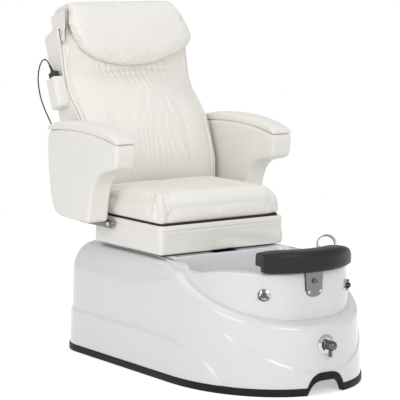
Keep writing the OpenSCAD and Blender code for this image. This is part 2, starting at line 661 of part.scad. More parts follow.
module arm_bolts() color("silver") placed() for (sx = [-1, 1], y = arm_bolt_ys) {
    x0 = rail_x - 14;
    x1 = bracket_x + bracket_t;
    rod_x(5, sx > 0 ? x0 : -x1, sx > 0 ? x1 : -x0, y, arm_bolt_z);
    rod_x(8.5, sx > 0 ? x1 : -x1 - 5, sx > 0 ? x1 + 5 : -x1, y, arm_bolt_z);
    rod_x(8, sx > 0 ? rail_x + 14 : -bracket_x, sx > 0 ? bracket_x : -rail_x - 14, y, arm_bolt_z);
}
module arm_pins() color("silver") placed() for (sx = [-1, 1]) {
    rod_x(arm_pin_d / 2, sx > 0 ? bracket_x : -arm_inner - 62, sx > 0 ? arm_inner + 62 : -bracket_x,
        arm_pivot_y, arm_pivot_z);
}

// Side outline of an arm panel, clockwise from the front of its top edge.
function arm_top(y) = 838 - 34 * pow(abs(y - 400) / 290, 2.1);
ARM_TOP = [for (y = [118, 160, 205, 250, 300, 350, 400, 450, 500, 550, 580]) [y, arm_top(y)]];
ARM_LOW = [[593, 800], [595, 760], [592, 692], [586, 640], [578, 592], [566, 552], [548, 526], [520, 513],
    [470, 509], [400, 507], [330, 507], [314, 508], [306, 516], [303, 540], [298, 570], [291, 600],
    [282, 628], [268, 656], [248, 680], [222, 697], [190, 706], [158, 712], [134, 718], [123, 728],
    [118, 745], [114, 770], [113, 790]];
ARM_SIDE = concat(ARM_TOP, ARM_LOW);
function inward(pts, i, d) =
    let (n = len(pts), a = pts[(i + n - 1) % n], b = pts[(i + 1) % n], t = (b - a) / norm(b - a))
    pts[i] + d * [t[1], -t[0]];
ARM_ROUND = [[0, 9], [3, 3], [9, 0], [arm_t - 9, 0], [arm_t - 3, 3], [arm_t, 9]];
module arm_panel_solid() difference() {
    skin([for (e = ARM_ROUND) [for (i = [0:len(ARM_SIDE) - 1])
        let (p = inward(ARM_SIDE, i, e[1])) [e[0], p[0], p[1]]]], [0, 350, 740], [arm_t, 350, 740]);
    rod_x(11, -5, 70, arm_pivot_y, arm_pivot_z);
}
PAD_SECTION = [[0, 0], [0.01, 0.5], [0.04, 0.8], [0.12, 0.95], [0.3, 1.03], [0.5, 1.06],
    [0.7, 1.03], [0.88, 0.95], [0.96, 0.8], [0.99, 0.5], [1, 0]];
pad_lift = 27;
module arm_pad_solid() {
    ys = [113, 118, 128, 145, 180, 220, 260, 300, 350, 400, 450, 500, 540, 575, 590, 596];
    hs = [0.3, 0.55, 0.7, 0.8, 0.9, 0.97, 1, 1, 1, 1, 1, 1, 0.98, 0.9, 0.6, 0.3];
    skin([for (k = [0:len(ys) - 1]) [for (p = PAD_SECTION)
        [p[0] * arm_t, ys[k], arm_top(ys[k]) + soft_gap / 2 + p[1] * hs[k] * pad_lift]]]);
}
module arm_bush_solid() difference() {
    rod_x(11, 0, 68, arm_pivot_y, arm_pivot_z);
    rod_x(arm_pin_d / 2 + run_fit, -1, 66, arm_pivot_y, arm_pivot_z);
}
module right_arm() placed() translate([-arm_inner, 0, 0]) mirror([1, 0, 0]) children();
module left_arm() placed() translate([arm_inner, 0, 0]) children();
module arm_panel_right() color("#efeae2") right_arm() arm_panel_solid();
module arm_panel_left() color("#efeae2") left_arm() arm_panel_solid();
module arm_pad_right() color("#f4f1ea") right_arm() arm_pad_solid();
module arm_pad_left() color("#f4f1ea") left_arm() arm_pad_solid();
module arm_bush_right() color("tan") right_arm() arm_bush_solid();
module arm_bush_left() color("tan") left_arm() arm_bush_solid();

/* ---- Recline drive and back hinges ---- */
lever_len = 67;
half_swing = 17.5;
lever_x = 17;
rod_z0 = pivot_z - lever_len * (1 + cos(half_swing)) / 2;
eye_y = pivot_y + lever_len * sin(half_swing);
module recline_motor() color("#2e3136") placed() difference() {
    union() {
        rod_y(21, 120, 400, 0, rod_z0);
        rod_y(26, 70, 130, 0, rod_z0);
        bar([-30, pan_front + 10, skirt_z + 6], [30, pan_front + 70, rod_z0 - 10]);
    }
    rod_y(9 + run_fit, 190, 402, 0, rod_z0);
}
module recline_rod() color("silver") placed() {
    rod_y(9, 245, eye_y + 9, 0, rod_z0);
    rod_x(6, -lever_x - 6, lever_x + 6, eye_y, rod_z0);
}
hinge_x = 212;
hinge_t = 8;
module back_hinges() color("gray") placed() for (sx = [-1, 1]) difference() {
    translate([sx * hinge_x - hinge_t / 2, 0, 0]) rotate([90, 0, 90]) linear_extrude(hinge_t) union() {
        polygon([[frame_rear - 26, skirt_z + 25], [frame_rear, skirt_z + 25], [pivot_y + 8, pivot_z - 36],
            [pivot_y + 12, pivot_z], [pivot_y - 12, pivot_z], [frame_rear + 1, board_z - 12],
            [frame_rear - 26, board_z - 24]]);
        translate([pivot_y, pivot_z]) circle(12);
    }
    rod_x(8, sx * hinge_x - 10, sx * hinge_x + 10, pivot_y, pivot_z);
}
module hinge_pin() color("silver") placed()
    rod_x(8, -hinge_x - 14, hinge_x + 14, pivot_y, pivot_z);

/* ---- Back, built upright about its pivot and then leaned ---- */
module leaned() placed() translate([0, pivot_y, pivot_z]) rotate([-back_lean, 0, 0]) children();
EDGE = [[8, -54], [35, -58], [63, -71], [120, -92], [176, -100], [240, -99], [296, -92], [361, -67], [410, -42],
    [458, -30], [510, -34], [554, -42], [600, -48], [650, -50], [702, -48]];
function edge_y(z) = lookup(z, EDGE);
tube_x = 235;
lug_x = 190;
lug_t = 12;
tube_y = 40;
tube_r = 11;
rod_x0 = 70;
// Cross tubes of the back frame: radius, the two heights, and the rear ends of the lug arms in the lower one.
cross_r = 9;
cross_low = 40;
cross_high = 660;
arm_grip = 7;
lever_t = 6;
lever_web = 5;
module back_frame() color("#3c3c3e") leaned() difference() {
    union() {
        for (sx = [-1, 1]) {
            rod_z(tube_r, cross_low, cross_high + 16, sx * tube_x, tube_y);
            rod_z(rod_d / 2, cross_low, cross_high, sx * rod_x0, tube_y);
            bar([sx * lug_x - lug_t / 2, -14, -14], [sx * lug_x + lug_t / 2, 16, cross_low]);
            bar([sx * lug_x - lug_t / 2, -14, cross_low - arm_grip],
                [sx * lug_x + lug_t / 2, tube_y, cross_low + arm_grip]);
            for (z = [110, 350, 590]) bar([sx * tube_x - 10, pad_rear + seat_gap, z - 12],
                [sx * tube_x + 10, tube_y, z + 12]);
            for (z = [430, 530]) bar([sx * tube_x - 10, tube_y, z - 12],
                [sx * tube_x + 10, 86 - back_wall - seat_gap, z + 12]);
            rotate([back_lean + half_swing, 0, 0])
                bar([sx * lever_x - lever_t / 2, -12, -lever_len - 14],
                    [sx * lever_x + lever_t / 2, 12, 12]);
            bar([sx * lever_x - lever_web / 2, -12, -9], [sx * lever_x + lever_web / 2, 12, cross_low]);
            bar([sx * lever_x - lever_web / 2, -12, cross_low - arm_grip],
                [sx * lever_x + lever_web / 2, tube_y, cross_low + arm_grip]);
        }
        for (z = [cross_low, cross_high]) rod_x(cross_r, -tube_x, tube_x, tube_y, z);
    }
    rod_x(8 + run_fit, -220, 220, 0, 0);
    rotate([back_lean + half_swing, 0, 0]) rod_x(8, -30, 30, 0, -lever_len);
}

SHELL_SIDE = concat(
    [for (z = [14, 63, 120, 176, 240, 296, 361, 410, 458, 510, 554, 600, 640]) [edge_y(z) + 8, z]],
    [[-34, 668], [-20, 690], [4, 700], [34, back_h], [58, 692], [74, 672], [82, 640],
        [86, 560], [86, 400], [82, 250], [74, 120], [64, 50], [54, 26], [40, 14]]);
module shell_form(w, rear_in, grow) intersection() {
    translate([-w, 0, 0]) rotate([90, 0, 90]) linear_extrude(2 * w) polygon(
        [for (i = [0:len(SHELL_SIDE) - 1])
            let (p = SHELL_SIDE[i]) i < 13 ? [p[0] - grow, p[1] + (i == 0 ? rear_in : 0)]
            : inward(SHELL_SIDE, i, rear_in)]);
    translate([0, -14, 0]) linear_extrude(back_h + 10)
        rounded_rect(2 * w, 200 - 2 * rear_in + grow, 36 - rear_in);
    translate([0, 200, -50]) rotate([90, 0, 0]) linear_extrude(500)
        translate([0, (back_h + 50) / 2]) rounded_rect(2 * w, back_h + 50 - 2 * rear_in, 60 - rear_in);
}
module back_shell() color("#ece8e0") leaned() difference() {
    shell_form(back_half_w, 0, 0);
    shell_form(back_half_w - back_wall, back_wall, 80);
    rod_y(6 + seat_gap, 60, 100, gland_x, gland_z + 14);
    for (sx = [-1, 1]) {
        bar([sx * lug_x - 7, -16, 5], [sx * lug_x + 7, 18, 30]);
        bar([sx * lever_x - 4, -14, 5], [sx * lever_x + 4, 14, 30]);
    }
    bar([-pad_half - 2, -200, 14 + back_wall + soft_gap], [pad_half + 2, pad_rear + soft_gap, back_h + 10]);
}

// Cross section of the back pad at a height: rear plane, then the crowned front.
pad_half = 268;
pad_rear = -14;
head_top = 752;
function pad_w(z) = z < 600 ? pad_half : mix(pad_half, 236, smooth((z - 600) / 130));
function pad_ring(z, e) =
    let (w = pad_w(z) - e, yf = edge_y(min(z, 702)) + e,
        yr = z > back_h + 2 ? 52 - e : pad_rear,
        crown = pad_crown * smooth((z - 50) / 100) * (1 - smooth((z - 430) / 90)) + 2)
    [[w, yr, z], [w + 1, mix(yr, yf, 0.5), z],
        for (t = [1, 0.97, 0.9, 0.78, 0.62, 0.56, 0.5, 0.35, 0.18, 0, -0.18, -0.35, -0.5, -0.56, -0.62,
            -0.78, -0.9, -0.97, -1])
            let (dent = abs(abs(t) - 0.56) < 0.01 ? 5 * smooth(z / 150) * (1 - smooth((z - 430) / 70)) : 0)
            [w * t, yf - crown * (1 - pow(abs(t), 3)) + 8 * pow(abs(t), 14) + dent, z],
        [-w - 1, mix(yr, yf, 0.5), z], [-w, yr, z]];
PAD_LEVELS = [[23, 14], [27, 5], [36, 0], [63, 0], [90, 0], [120, 0], [148, 0], [176, 0], [208, 0], [240, 0],
    [268, 0], [296, 0], [328, 0], [361, 0], [386, 0], [410, 0], [434, 0], [458, 0], [484, 0], [510, 0],
    [554, 0], [600, 0], [650, 0], [702.5, 0], [704.5, 0], [728, 0], [742, 4], [749, 10], [head_top, 18]];
module back_pad() color("#f4f1ea") leaned() skin([for (l = PAD_LEVELS) pad_ring(l[0], l[1])]);

/* ---- Massage mechanism ---- */
carriage_z = 180;
shaft_y = 18;
module massage_carriage() color("#44474c") leaned() difference() {
    union() {
        bar([-86, tube_y - 16, carriage_z], [86, tube_y + 18, carriage_z + 120]);
        for (sx = [-1, 1]) bar([sx * 80 - 6, shaft_y - 14, carriage_z + 40],
            [sx * 80 + 6, tube_y, carriage_z + 80]);
        rod_z(16, carriage_z - 30, carriage_z + 1, 0, tube_y);
    }
    for (sx = [-1, 1]) rod_z(rod_d / 2 + run_fit, carriage_z - 1, carriage_z + 121, sx * rod_x0, tube_y);
    rod_x(6 + run_fit, -90, 90, shaft_y, carriage_z + 60);
}
module massage_rollers() color("#c9a26a") leaned() {
    rod_x(6, -128, 128, shaft_y, carriage_z + 60);
    for (sx = [-1, 1]) rod_x(roller_r, sx * 108 - 16, sx * 108 + 16, shaft_y, carriage_z + 60);
}

/* ---- Head pillow ---- */
pillow_axis_y = 54;
pillow_y0 = -53;
pillow_zt = head_top + soft_gap;
function shield_low(x) = 512 + 78 * pow(abs(x) / 262, 2.6);
function pillow_ring(x, e) =
    let (lo = min(shield_low(x) + e, 640), t = 44 - 2 * e, y0 = pillow_y0, zt = pillow_zt, top = 24 - e)
    [[y0, lo + 4], [y0, 650], [y0, 700], [y0, 726], [y0 + 3, 743], [y0 + 12, zt - 1.2], [y0 + 24, zt],
        [10, zt], [pillow_axis_y - 2, zt], [pillow_axis_y, zt + 6], [pillow_axis_y - 6, zt + top - 5],
        [20, zt + top], [-20, zt + top], [y0 - 4, zt + top - 4], [y0 - t * 0.45, zt + 2],
        [y0 - t * 0.72, 728], [y0 - t * 0.9, 690], [y0 - t, 640 + e], [y0 - t, mix(lo, 640, 0.55)],
        [y0 - t * 0.9, mix(lo, 640, 0.25)], [y0 - t * 0.6, mix(lo, 640, 0.07)], [y0 - t * 0.25, lo]];
function pillow_pt(x, q) = [x * (1 - 0.13 * smooth((q[1] - 620) / 150)), q[0], q[1]];
module head_pillow() color("#f1ede5") leaned() {
    half = [[270, 14], [268, 8], [262, 4], [249, 1.5], [225, 0], [195, 0], [155, 0], [115, 0],
        [75, 0], [38, 0]];
    right = [for (k = [len(half) - 1:-1:0]) [-half[k][0], half[k][1]]];
    hub = [pillow_y0 - 2, pillow_zt + 3];
    skin([for (p = concat(half, [[0, 0]], right)) [for (q = pillow_ring(p[0], p[1])) pillow_pt(p[0], q)]],
        pillow_pt(270, hub), pillow_pt(-270, hub));
}

/* ---- Handset, its pocket and cord ---- */
pocket_y0 = -30;
pocket_y1 = 40;
pocket_z0 = 376;
pocket_z1 = 498;
pocket_t = 46;
hand_w = 46;
hand_t = 22;
pocket_y = (pocket_y0 + pocket_y1) / 2;
module remote_pocket() color("#ebe7df") leaned() difference() {
    hull() for (y = [pocket_y0 + 14, pocket_y1 - 14]) {
        for (x = [pocket_t - 14, 14]) translate([-back_half_w - x, y, pocket_z0 + 16]) sphere(14, $fn = 20);
        for (x = [pocket_t - 12, 12]) translate([-back_half_w - x, y, pocket_z1 - 8]) sphere(12, $fn = 20);
        rod_x(14, -back_half_w - 14, -back_half_w + 20, y, pocket_z0 + 16);
        rod_x(12, -back_half_w - 12, -back_half_w + 20, y, pocket_z1 - 8);
    }
    bar([-back_half_w, pocket_y0 - 5, pocket_z0 - 5], [-back_half_w + 30, pocket_y1 + 5, pocket_z1 + 20]);
    bar([-back_half_w - pocket_t - 5, pocket_y0 - 5, pocket_z1],
        [-back_half_w + 5, pocket_y1 + 5, pocket_z1 + 20]);
    translate([-back_half_w - pocket_t / 2, pocket_y, pocket_z0 + 8])
        linear_extrude(pocket_z1 - pocket_z0) rounded_rect(hand_t + 2, hand_w + 2, 6);
}
hand_z = pocket_z0 + 8 + seat_gap;
relief_tilt = 24;
hand_h = 135;
module at_handset() leaned()
    translate([-back_half_w - pocket_t / 2, pocket_y, hand_z]) children();
module handset() color("#1c1c1c") at_handset() difference() {
    union() {
        linear_extrude(hand_h) rounded_rect(hand_t, hand_w, 5);
        translate([0, 0, hand_h - 4]) rotate([-relief_tilt, 0, 0]) cylinder(r1 = 14, r2 = 5.5, h = 18);
    }
    translate([-hand_t / 2 - 1, -17, 20]) cube([2.2, 34, 84]);
}
module handset_keypad() color("#3a3d42") at_handset()
    translate([-hand_t / 2 - 0.6, -16.6, 20.4]) cube([1.8, 33.2, 83.2]);
module strain_relief() color("#1c1c1c") at_handset()
    translate([0, 0, hand_h - 4]) rotate([-relief_tilt, 0, 0])
        translate([0, 0, 18]) cylinder(r1 = 5.5, r2 = 3.4, h = 24);

gland_x = -225;
gland_y = 91.5;
gland_z = 192;
module cord_gland() color("#1c1c1c") leaned() {
    translate([gland_x, gland_y, gland_z]) cylinder(r = 11, h = 26);
    rod_y(6, 66, gland_y, gland_x, gland_z + 14);
}

// Hand-chosen points of the cord's route on the leaned back, from the relief to the gland.
relief_end = [-back_half_w - pocket_t / 2, pocket_y, hand_z + hand_h - 4]
    + 42.1 * [0, sin(relief_tilt), cos(relief_tilt)];
CORD = [relief_end, [-308, 31, 572], [-310, 45, 584], [-313, 61, 583], [-317, 75, 571],
    [-320, 88, 552], [-322, 100, 525], [-322, 107, 496], [-321, 110, 465], [-319, 109, 434],
    [-315, 105, 402], [-310, 99, 370], [-305, 95, 340], [-300, 96, 310], [-293, 101, 280],
    [-285, 109, 250], [-275, 117, 221], [-264, 122, 194], [-253, 122, 173], [-242, 116, 161],
    [-231, 104, 161], [gland_x, gland_y + 0.5, 173], [gland_x, gland_y, gland_z - 0.15]];
cord_sides = 8;
function cord_dir(i) =
    let (a = CORD[max(i - 1, 0)], b = CORD[min(i + 1, len(CORD) - 1)]) (b - a) / norm(b - a);
function cord_ring(i) =
    let (d = cord_dir(i), u = cross(d, [0.2, 0.9, 0.1]), e = u / norm(u), f = cross(d, e))
    [for (k = [cord_sides - 1:-1:0]) let (a = 360 * k / cord_sides)
        CORD[i] + cord_d / 2 * (cos(a) * e + sin(a) * f)];
module cord() color("#1c1c1c") leaned() skin([for (i = [0:len(CORD) - 1]) cord_ring(i)]);

tub_shell();
base_trim();
base_frame();
levelling_feet();
slide_channel();
jet_nozzles();
jet_pump();
jet_pipes();
drain_fitting();
drain_plug();
tap_escutcheons();
tap_valves();
tap_knob_right();
tap_knob_left();
mixer_escutcheon();
mixer_valve();
mixer_handle();
spray_ring();
footrest_bracket();
bracket_screws();
lock_bolt();
footrest_stem();
footrest_pad();
seat_carriage();
seat_frame();
seat_board();
seat_skirt();
seat_cushion();
arm_brackets();
arm_bolts();
arm_pins();
recline_motor();
recline_rod();
back_hinges();
hinge_pin();
back_frame();
back_shell();
back_pad();
massage_carriage();
massage_rollers();
head_pillow();
remote_pocket();
handset();
handset_keypad();
strain_relief();
cord_gland();
cord();
arm_panel_right();
arm_pad_right();
arm_bush_right();
arm_panel_left();
arm_pad_left();
arm_bush_left();
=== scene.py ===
"""Pedicure spa chair: the pieces and finishes that show, built round the packed solids."""
import math

import bmesh
import bpy
import numpy as np
from mathutils import Matrix, Vector
from mathutils.bvhtree import BVHTree


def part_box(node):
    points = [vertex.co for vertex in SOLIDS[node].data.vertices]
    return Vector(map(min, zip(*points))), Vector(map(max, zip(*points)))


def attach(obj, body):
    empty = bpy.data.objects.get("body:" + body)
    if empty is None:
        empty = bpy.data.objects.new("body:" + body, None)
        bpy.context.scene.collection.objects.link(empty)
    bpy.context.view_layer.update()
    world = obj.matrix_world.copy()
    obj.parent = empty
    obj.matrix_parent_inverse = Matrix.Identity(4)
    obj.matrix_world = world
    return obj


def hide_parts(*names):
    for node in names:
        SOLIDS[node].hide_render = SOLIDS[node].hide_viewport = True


bl_info = {
    "name": "Pedicure spa chair",
    "version": (1, 0, 0),
    "blender": (4, 5, 0),
    "location": "View3D > Sidebar > Spa chair",
    "description": "Builds a pedicure spa chair's upholstery, tub, fittings and cord",
    "category": "Add Mesh",
}

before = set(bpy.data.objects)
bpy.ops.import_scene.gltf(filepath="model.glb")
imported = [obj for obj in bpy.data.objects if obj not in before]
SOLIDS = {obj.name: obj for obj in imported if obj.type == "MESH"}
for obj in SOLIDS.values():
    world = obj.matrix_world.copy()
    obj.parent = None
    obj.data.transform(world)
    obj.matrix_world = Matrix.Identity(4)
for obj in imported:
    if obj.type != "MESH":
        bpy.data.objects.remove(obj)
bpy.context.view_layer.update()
MM = 0.001
SCENE = bpy.context.scene

# The chair's own frames: the tub's mid-length and the back's hinge line.
CENTRE_Y = -0.0829
PIVOT = Vector((0, 0.500 + CENTRE_Y, 0.545))
LEAN = math.radians(20)
LEAN_COS = math.cos(LEAN)
LEAN_SIN = math.sin(LEAN)


def on_back(x, y, z):
    """A point given on the upright back, in millimetres, placed on the leaned one."""
    return Vector((
        x * MM,
        PIVOT.y + (y * LEAN_COS + z * LEAN_SIN) * MM,
        PIVOT.z + (z * LEAN_COS - y * LEAN_SIN) * MM,
    ))


def to_back(points):
    """Points as an array, turned into the upright back's frame, in metres."""
    y = points[:, 1] - PIVOT.y
    z = points[:, 2] - PIVOT.z
    return np.stack([
        points[:, 0], y * LEAN_COS - z * LEAN_SIN, y * LEAN_SIN + z * LEAN_COS
    ], 1)


# ---------------------------------------------------------------- sizes and colours

class SpaChairSizes(bpy.types.PropertyGroup):
    """Sizes of the upholstery's soft forms."""
    weave_step: bpy.props.FloatProperty(
        name="Mesh step", description="Size of a face before the padding swells",
        default=0.006, min=0.004, max=0.012, subtype="DISTANCE", unit="LENGTH")
    cushion_swell: bpy.props.FloatProperty(
        name="Cushion swell", description="Most that the seat cushion's cover may rise",
        default=0.012, min=0.0, max=0.03, subtype="DISTANCE", unit="LENGTH")
    back_swell: bpy.props.FloatProperty(
        name="Back swell", description="Most that the back pad's cover may rise",
        default=0.010, min=0.0, max=0.03, subtype="DISTANCE", unit="LENGTH")
    pillow_swell: bpy.props.FloatProperty(
        name="Pillow swell", description="Most that the head pillow's cover may rise",
        default=0.010, min=0.0, max=0.03, subtype="DISTANCE", unit="LENGTH")
    fold_depth: bpy.props.FloatProperty(
        name="Fold depth", description="Depth of the back pad's pleats and gathers",
        default=0.0045, min=0.0, max=0.01, subtype="DISTANCE", unit="LENGTH")
    welt_radius: bpy.props.FloatProperty(
        name="Welt radius", description="Radius of the piping along the seams",
        default=0.0024, min=0.001, max=0.006, subtype="DISTANCE", unit="LENGTH")


class SpaChairColours(bpy.types.PropertyGroup):
    """Colours of the chair's finishes."""
    leather: bpy.props.FloatVectorProperty(
        name="Upholstery", description="Colour of the synthetic leather",
        default=(0.81, 0.785, 0.735), size=3, min=0, max=1, subtype="COLOR")
    gelcoat: bpy.props.FloatVectorProperty(
        name="Tub", description="Colour of the tub's gelcoat",
        default=(0.66, 0.664, 0.670), size=3, min=0, max=1, subtype="COLOR")
    footrest: bpy.props.FloatVectorProperty(
        name="Footrest", description="Colour of the footrest's cover",
        default=(0.022, 0.022, 0.0225), size=3, min=0, max=1, subtype="COLOR")
    trim: bpy.props.FloatVectorProperty(
        name="Base trim", description="Colour of the rubber round the base",
        default=(0.006, 0.006, 0.0065), size=3, min=0, max=1, subtype="COLOR")


# ---------------------------------------------------------------- finishes

class Value:
    """A shader socket that adds Math nodes as it is used in an expression."""

    def __init__(self, nodes, socket):
        self.nodes = nodes
        self.socket = socket

    def maths(self, operation, first, second):
        node = self.nodes.add("ShaderNodeMath", {"operation": operation}, {0: first, 1: second})
        return Value(self.nodes, node.outputs[0])

    def __add__(self, other):
        return self.maths("ADD", self, other)

    def __radd__(self, other):
        return self.maths("ADD", other, self)

    def __sub__(self, other):
        return self.maths("SUBTRACT", self, other)

    def __rsub__(self, other):
        return self.maths("SUBTRACT", other, self)

    def __mul__(self, other):
        return self.maths("MULTIPLY", self, other)

    def __rmul__(self, other):
        return self.maths("MULTIPLY", other, self)


class Nodes:
    """The nodes of a material or of the world: each comes from add(), and sums come from Value."""

    def __init__(self, owner):
        owner.use_nodes = True
        self.owner = owner
        self.tree = owner.node_tree
        self.tree.nodes.clear()

    def add(self, kind, settings=None, sockets=None):
        """A node of a type, with its settings and then its sockets' values or links."""
        node = self.tree.nodes.new(kind)
        for name, value in (settings or {}).items():
            setattr(node, name, value)
        for name, value in (sockets or {}).items():
            if isinstance(value, Value):
                value = value.socket
            if isinstance(value, bpy.types.NodeSocket):
                self.tree.links.new(value, node.inputs[name])
            else:
                node.inputs[name].default_value = value
        return node

    def either(self, first, second):
        """The larger of two sockets."""
        return self.add("ShaderNodeMath", {"operation": "MAXIMUM"}, {
            0: first, 1: second}).outputs[0]

    def shader(self, kind, colour, **sockets):
        """A plain shader's output."""
        return self.add(kind, None, {"Color": (*colour, 1), **sockets}).outputs[0]

    def mixed_shaders(self, share, first, second):
        return self.add("ShaderNodeMixShader", None, {
            0: share, 1: first, 2: second}).outputs[0]


class Finish(Nodes):
    """One material, whose patterns follow the surface's own place."""

    def __init__(self, name):
        super().__init__(bpy.data.materials.new(name))
        self.place = self.add("ShaderNodeTexCoord").outputs["Object"]

    def stretched(self, scale):
        """The surface's own place, stretched by a factor along each axis."""
        return self.add("ShaderNodeMapping", None, {
            "Vector": self.place, "Scale": scale}).outputs[0]

    def noise(self, scale, detail=3.0, roughness=0.55, place=None):
        node = self.add("ShaderNodeTexNoise", None, {
            "Vector": place or self.place, "Scale": scale, "Detail": detail,
            "Roughness": roughness})
        return Value(self, node.outputs["Fac"])

    def cells(self, scale, feature="F1"):
        node = self.add("ShaderNodeTexVoronoi", {"feature": feature}, {
            "Vector": self.place, "Scale": scale})
        return Value(self, node.outputs["Distance"])

    def mixed(self, first, second, share):
        """A colour between two colours."""
        first, second = (
            colour if isinstance(colour, bpy.types.NodeSocket) else (*colour, 1)
            for colour in (first, second))
        node = self.add("ShaderNodeMix", {"data_type": "RGBA"}, {0: share, 6: first, 7: second})
        return node.outputs[2]

    def bump(self, height, strength, depth):
        return self.add("ShaderNodeBump", None, {
            "Height": height, "Strength": strength, "Distance": depth}).outputs[0]

    def shade(self, sockets):
        """Ends the material in one Principled shader."""
        shader = self.add("ShaderNodeBsdfPrincipled", None, sockets)
        self.add("ShaderNodeOutputMaterial", None, {0: shader.outputs[0]})
        return self.owner


def scaled(colour, factor):
    return tuple(min(part * factor, 1.0) for part in colour)


def leather(name, colour, gloss=0.47, grain=520.0, depth=0.00035, sheen=0.42):
    """Synthetic leather: pebble grain, fine creases and a slightly uneven tone."""
    finish = Finish(name)
    pebbles = finish.cells(grain)
    creases = finish.cells(grain * 0.37, "DISTANCE_TO_EDGE")
    drift = finish.noise(7.0, 4.0)
    fine = finish.noise(grain * 2.2, 2.0)
    height = pebbles * 0.55 + creases * 0.7 + fine * 0.25
    tone = finish.mixed(scaled(colour, 0.94), scaled(colour, 1.03), drift)
    tone = finish.mixed(tone, scaled(colour, 0.90), (1 - pebbles) * 0.10)
    return finish.shade({
        "Base Color": tone,
        "Roughness": gloss - 0.06 + drift * 0.08 + pebbles * 0.06,
        "Specular IOR Level": sheen,
        "Normal": finish.bump(height, 0.32, depth),
    })


def gelcoat(name, colour):
    """Polished gelcoat over laminate: a clear, very slightly wavy gloss."""
    finish = Finish(name)
    wave = finish.noise(14.0, 2.0)
    haze = finish.noise(90.0, 3.0)
    return finish.shade({
        "Base Color": finish.mixed(scaled(colour, 0.985), scaled(colour, 1.01), haze),
        "Roughness": 0.16 + haze * 0.06,
        "Coat Weight": 0.35,
        "Coat Roughness": 0.06,
        "Normal": finish.bump(wave, 0.12, 0.0012),
    })


def rubber(name, colour, grain=700.0):
    """Moulded rubber with a fine dull grain and a faint scuff."""
    finish = Finish(name)
    fine = finish.noise(grain, 3.0)
    scuff = finish.noise(26.0, 5.0, 0.7)
    return finish.shade({
        "Base Color": finish.mixed(colour, scaled(colour, 1.9), scuff * 0.6),
        "Roughness": 0.42 + scuff * 0.22,
        "Specular IOR Level": 0.2,
        "Normal": finish.bump(fine, 0.25, 0.0003),
    })


def plastic(name, colour, gloss=0.38):
    """Injection-moulded plastic with a spark-eroded skin."""
    finish = Finish(name)
    skin = finish.noise(1100.0, 2.0)
    drift = finish.noise(18.0, 3.0)
    return finish.shade({
        "Base Color": finish.mixed(scaled(colour, 0.93), scaled(colour, 1.06), drift),
        "Roughness": gloss + skin * 0.10,
        "Normal": finish.bump(skin, 0.2, 0.0002),
    })


def polished(name, colour, gloss=0.07):
    """Polished plating: a mirror with the faintest wipe marks."""
    finish = Finish(name)
    wipes = finish.noise(60.0, 4.0, 0.6, finish.stretched((1, 1, 6)))
    return finish.shade({
        "Base Color": finish.mixed(scaled(colour, 0.96), colour, wipes),
        "Metallic": 1.0,
        "Roughness": gloss + wipes * 0.07,
    })


def brushed(name, colour, along, gloss=0.30):
    """Brushed steel: fine scratches drawn out along one axis."""
    finish = Finish(name)
    lines = finish.noise(40.0, 6.0, 0.75, finish.stretched(along))
    drift = finish.noise(30.0, 3.0)
    return finish.shade({
        "Base Color": finish.mixed(scaled(colour, 0.88), scaled(colour, 1.05), lines),
        "Metallic": 1.0,
        "Roughness": gloss + lines * 0.16 + drift * 0.05,
        "Normal": finish.bump(lines, 0.15, 0.0002),
    })


def painted(name, colour):
    """Powder-coated steel with orange peel."""
    finish = Finish(name)
    peel = finish.noise(420.0, 3.0)
    drift = finish.noise(12.0, 4.0)
    return finish.shade({
        "Base Color": finish.mixed(scaled(colour, 0.85), scaled(colour, 1.15), drift),
        "Roughness": 0.44 + peel * 0.14,
        "Normal": finish.bump(peel, 0.3, 0.0004),
    })


def plywood(name, colour):
    """Plywood board with long grain and darker figure."""
    finish = Finish(name)
    figure = finish.noise(9.0, 6.0, 0.65, finish.stretched((1, 9, 9)))
    pores = finish.noise(260.0, 4.0, 0.7, finish.stretched((0.2, 1, 1)))
    return finish.shade({
        "Base Color": finish.mixed(scaled(colour, 0.6), scaled(colour, 1.2), figure),
        "Roughness": 0.6 + pores * 0.2,
        "Normal": finish.bump(pores, 0.3, 0.0004),
    })


# ---------------------------------------------------------------- mesh tools

def mesh_piece(name, points, faces):
    """A smooth-shaded object from points and faces."""
    mesh = bpy.data.meshes.new(name)
    mesh.from_pydata([tuple(point) for point in points], [], [tuple(f) for f in faces])
    mesh.validate()
    mesh.update()
    piece = bpy.data.objects.new(name, mesh)
    SCENE.collection.objects.link(piece)
    shade_smooth(piece)
    return piece


def shade_smooth(piece, angle=None):
    mesh = piece.data
    mesh.polygons.foreach_set("use_smooth", np.ones(len(mesh.polygons), bool))
    if angle is not None:
        mesh.set_sharp_from_angle(angle=math.radians(angle))
    mesh.update()


def from_solid(node, name):
    """A welded copy of a packed solid's mesh."""
    mesh = SOLIDS[node].data.copy()
    mesh.materials.clear()
    work = bmesh.new()
    work.from_mesh(mesh)
    bmesh.ops.remove_doubles(work, verts=work.verts, dist=2e-5)
    work.to_mesh(mesh)
    work.free()
    for attribute in [a for a in mesh.attributes if a.name in ("custom_normal", "sharp_face")]:
        mesh.attributes.remove(attribute)
    mesh.name = name
    piece = bpy.data.objects.new(name, mesh)
    SCENE.collection.objects.link(piece)
    return piece


def shaped(piece, kind, **settings):
    """Adds a modifier of a kind, applies it and keeps the result."""
    modifier = piece.modifiers.new(kind.lower(), kind)
    for name, value in settings.items():
        setattr(modifier, name, value)
    graph = bpy.context.evaluated_depsgraph_get()
    mesh = bpy.data.meshes.new_from_object(piece.evaluated_get(graph))
    piece.modifiers.clear()
    old = piece.data
    piece.data = mesh
    bpy.data.meshes.remove(old)
    mesh.name = piece.name
    return piece


def points_of(piece):
    points = np.empty(len(piece.data.vertices) * 3)
    piece.data.vertices.foreach_get("co", points)
    return points.reshape(-1, 3)


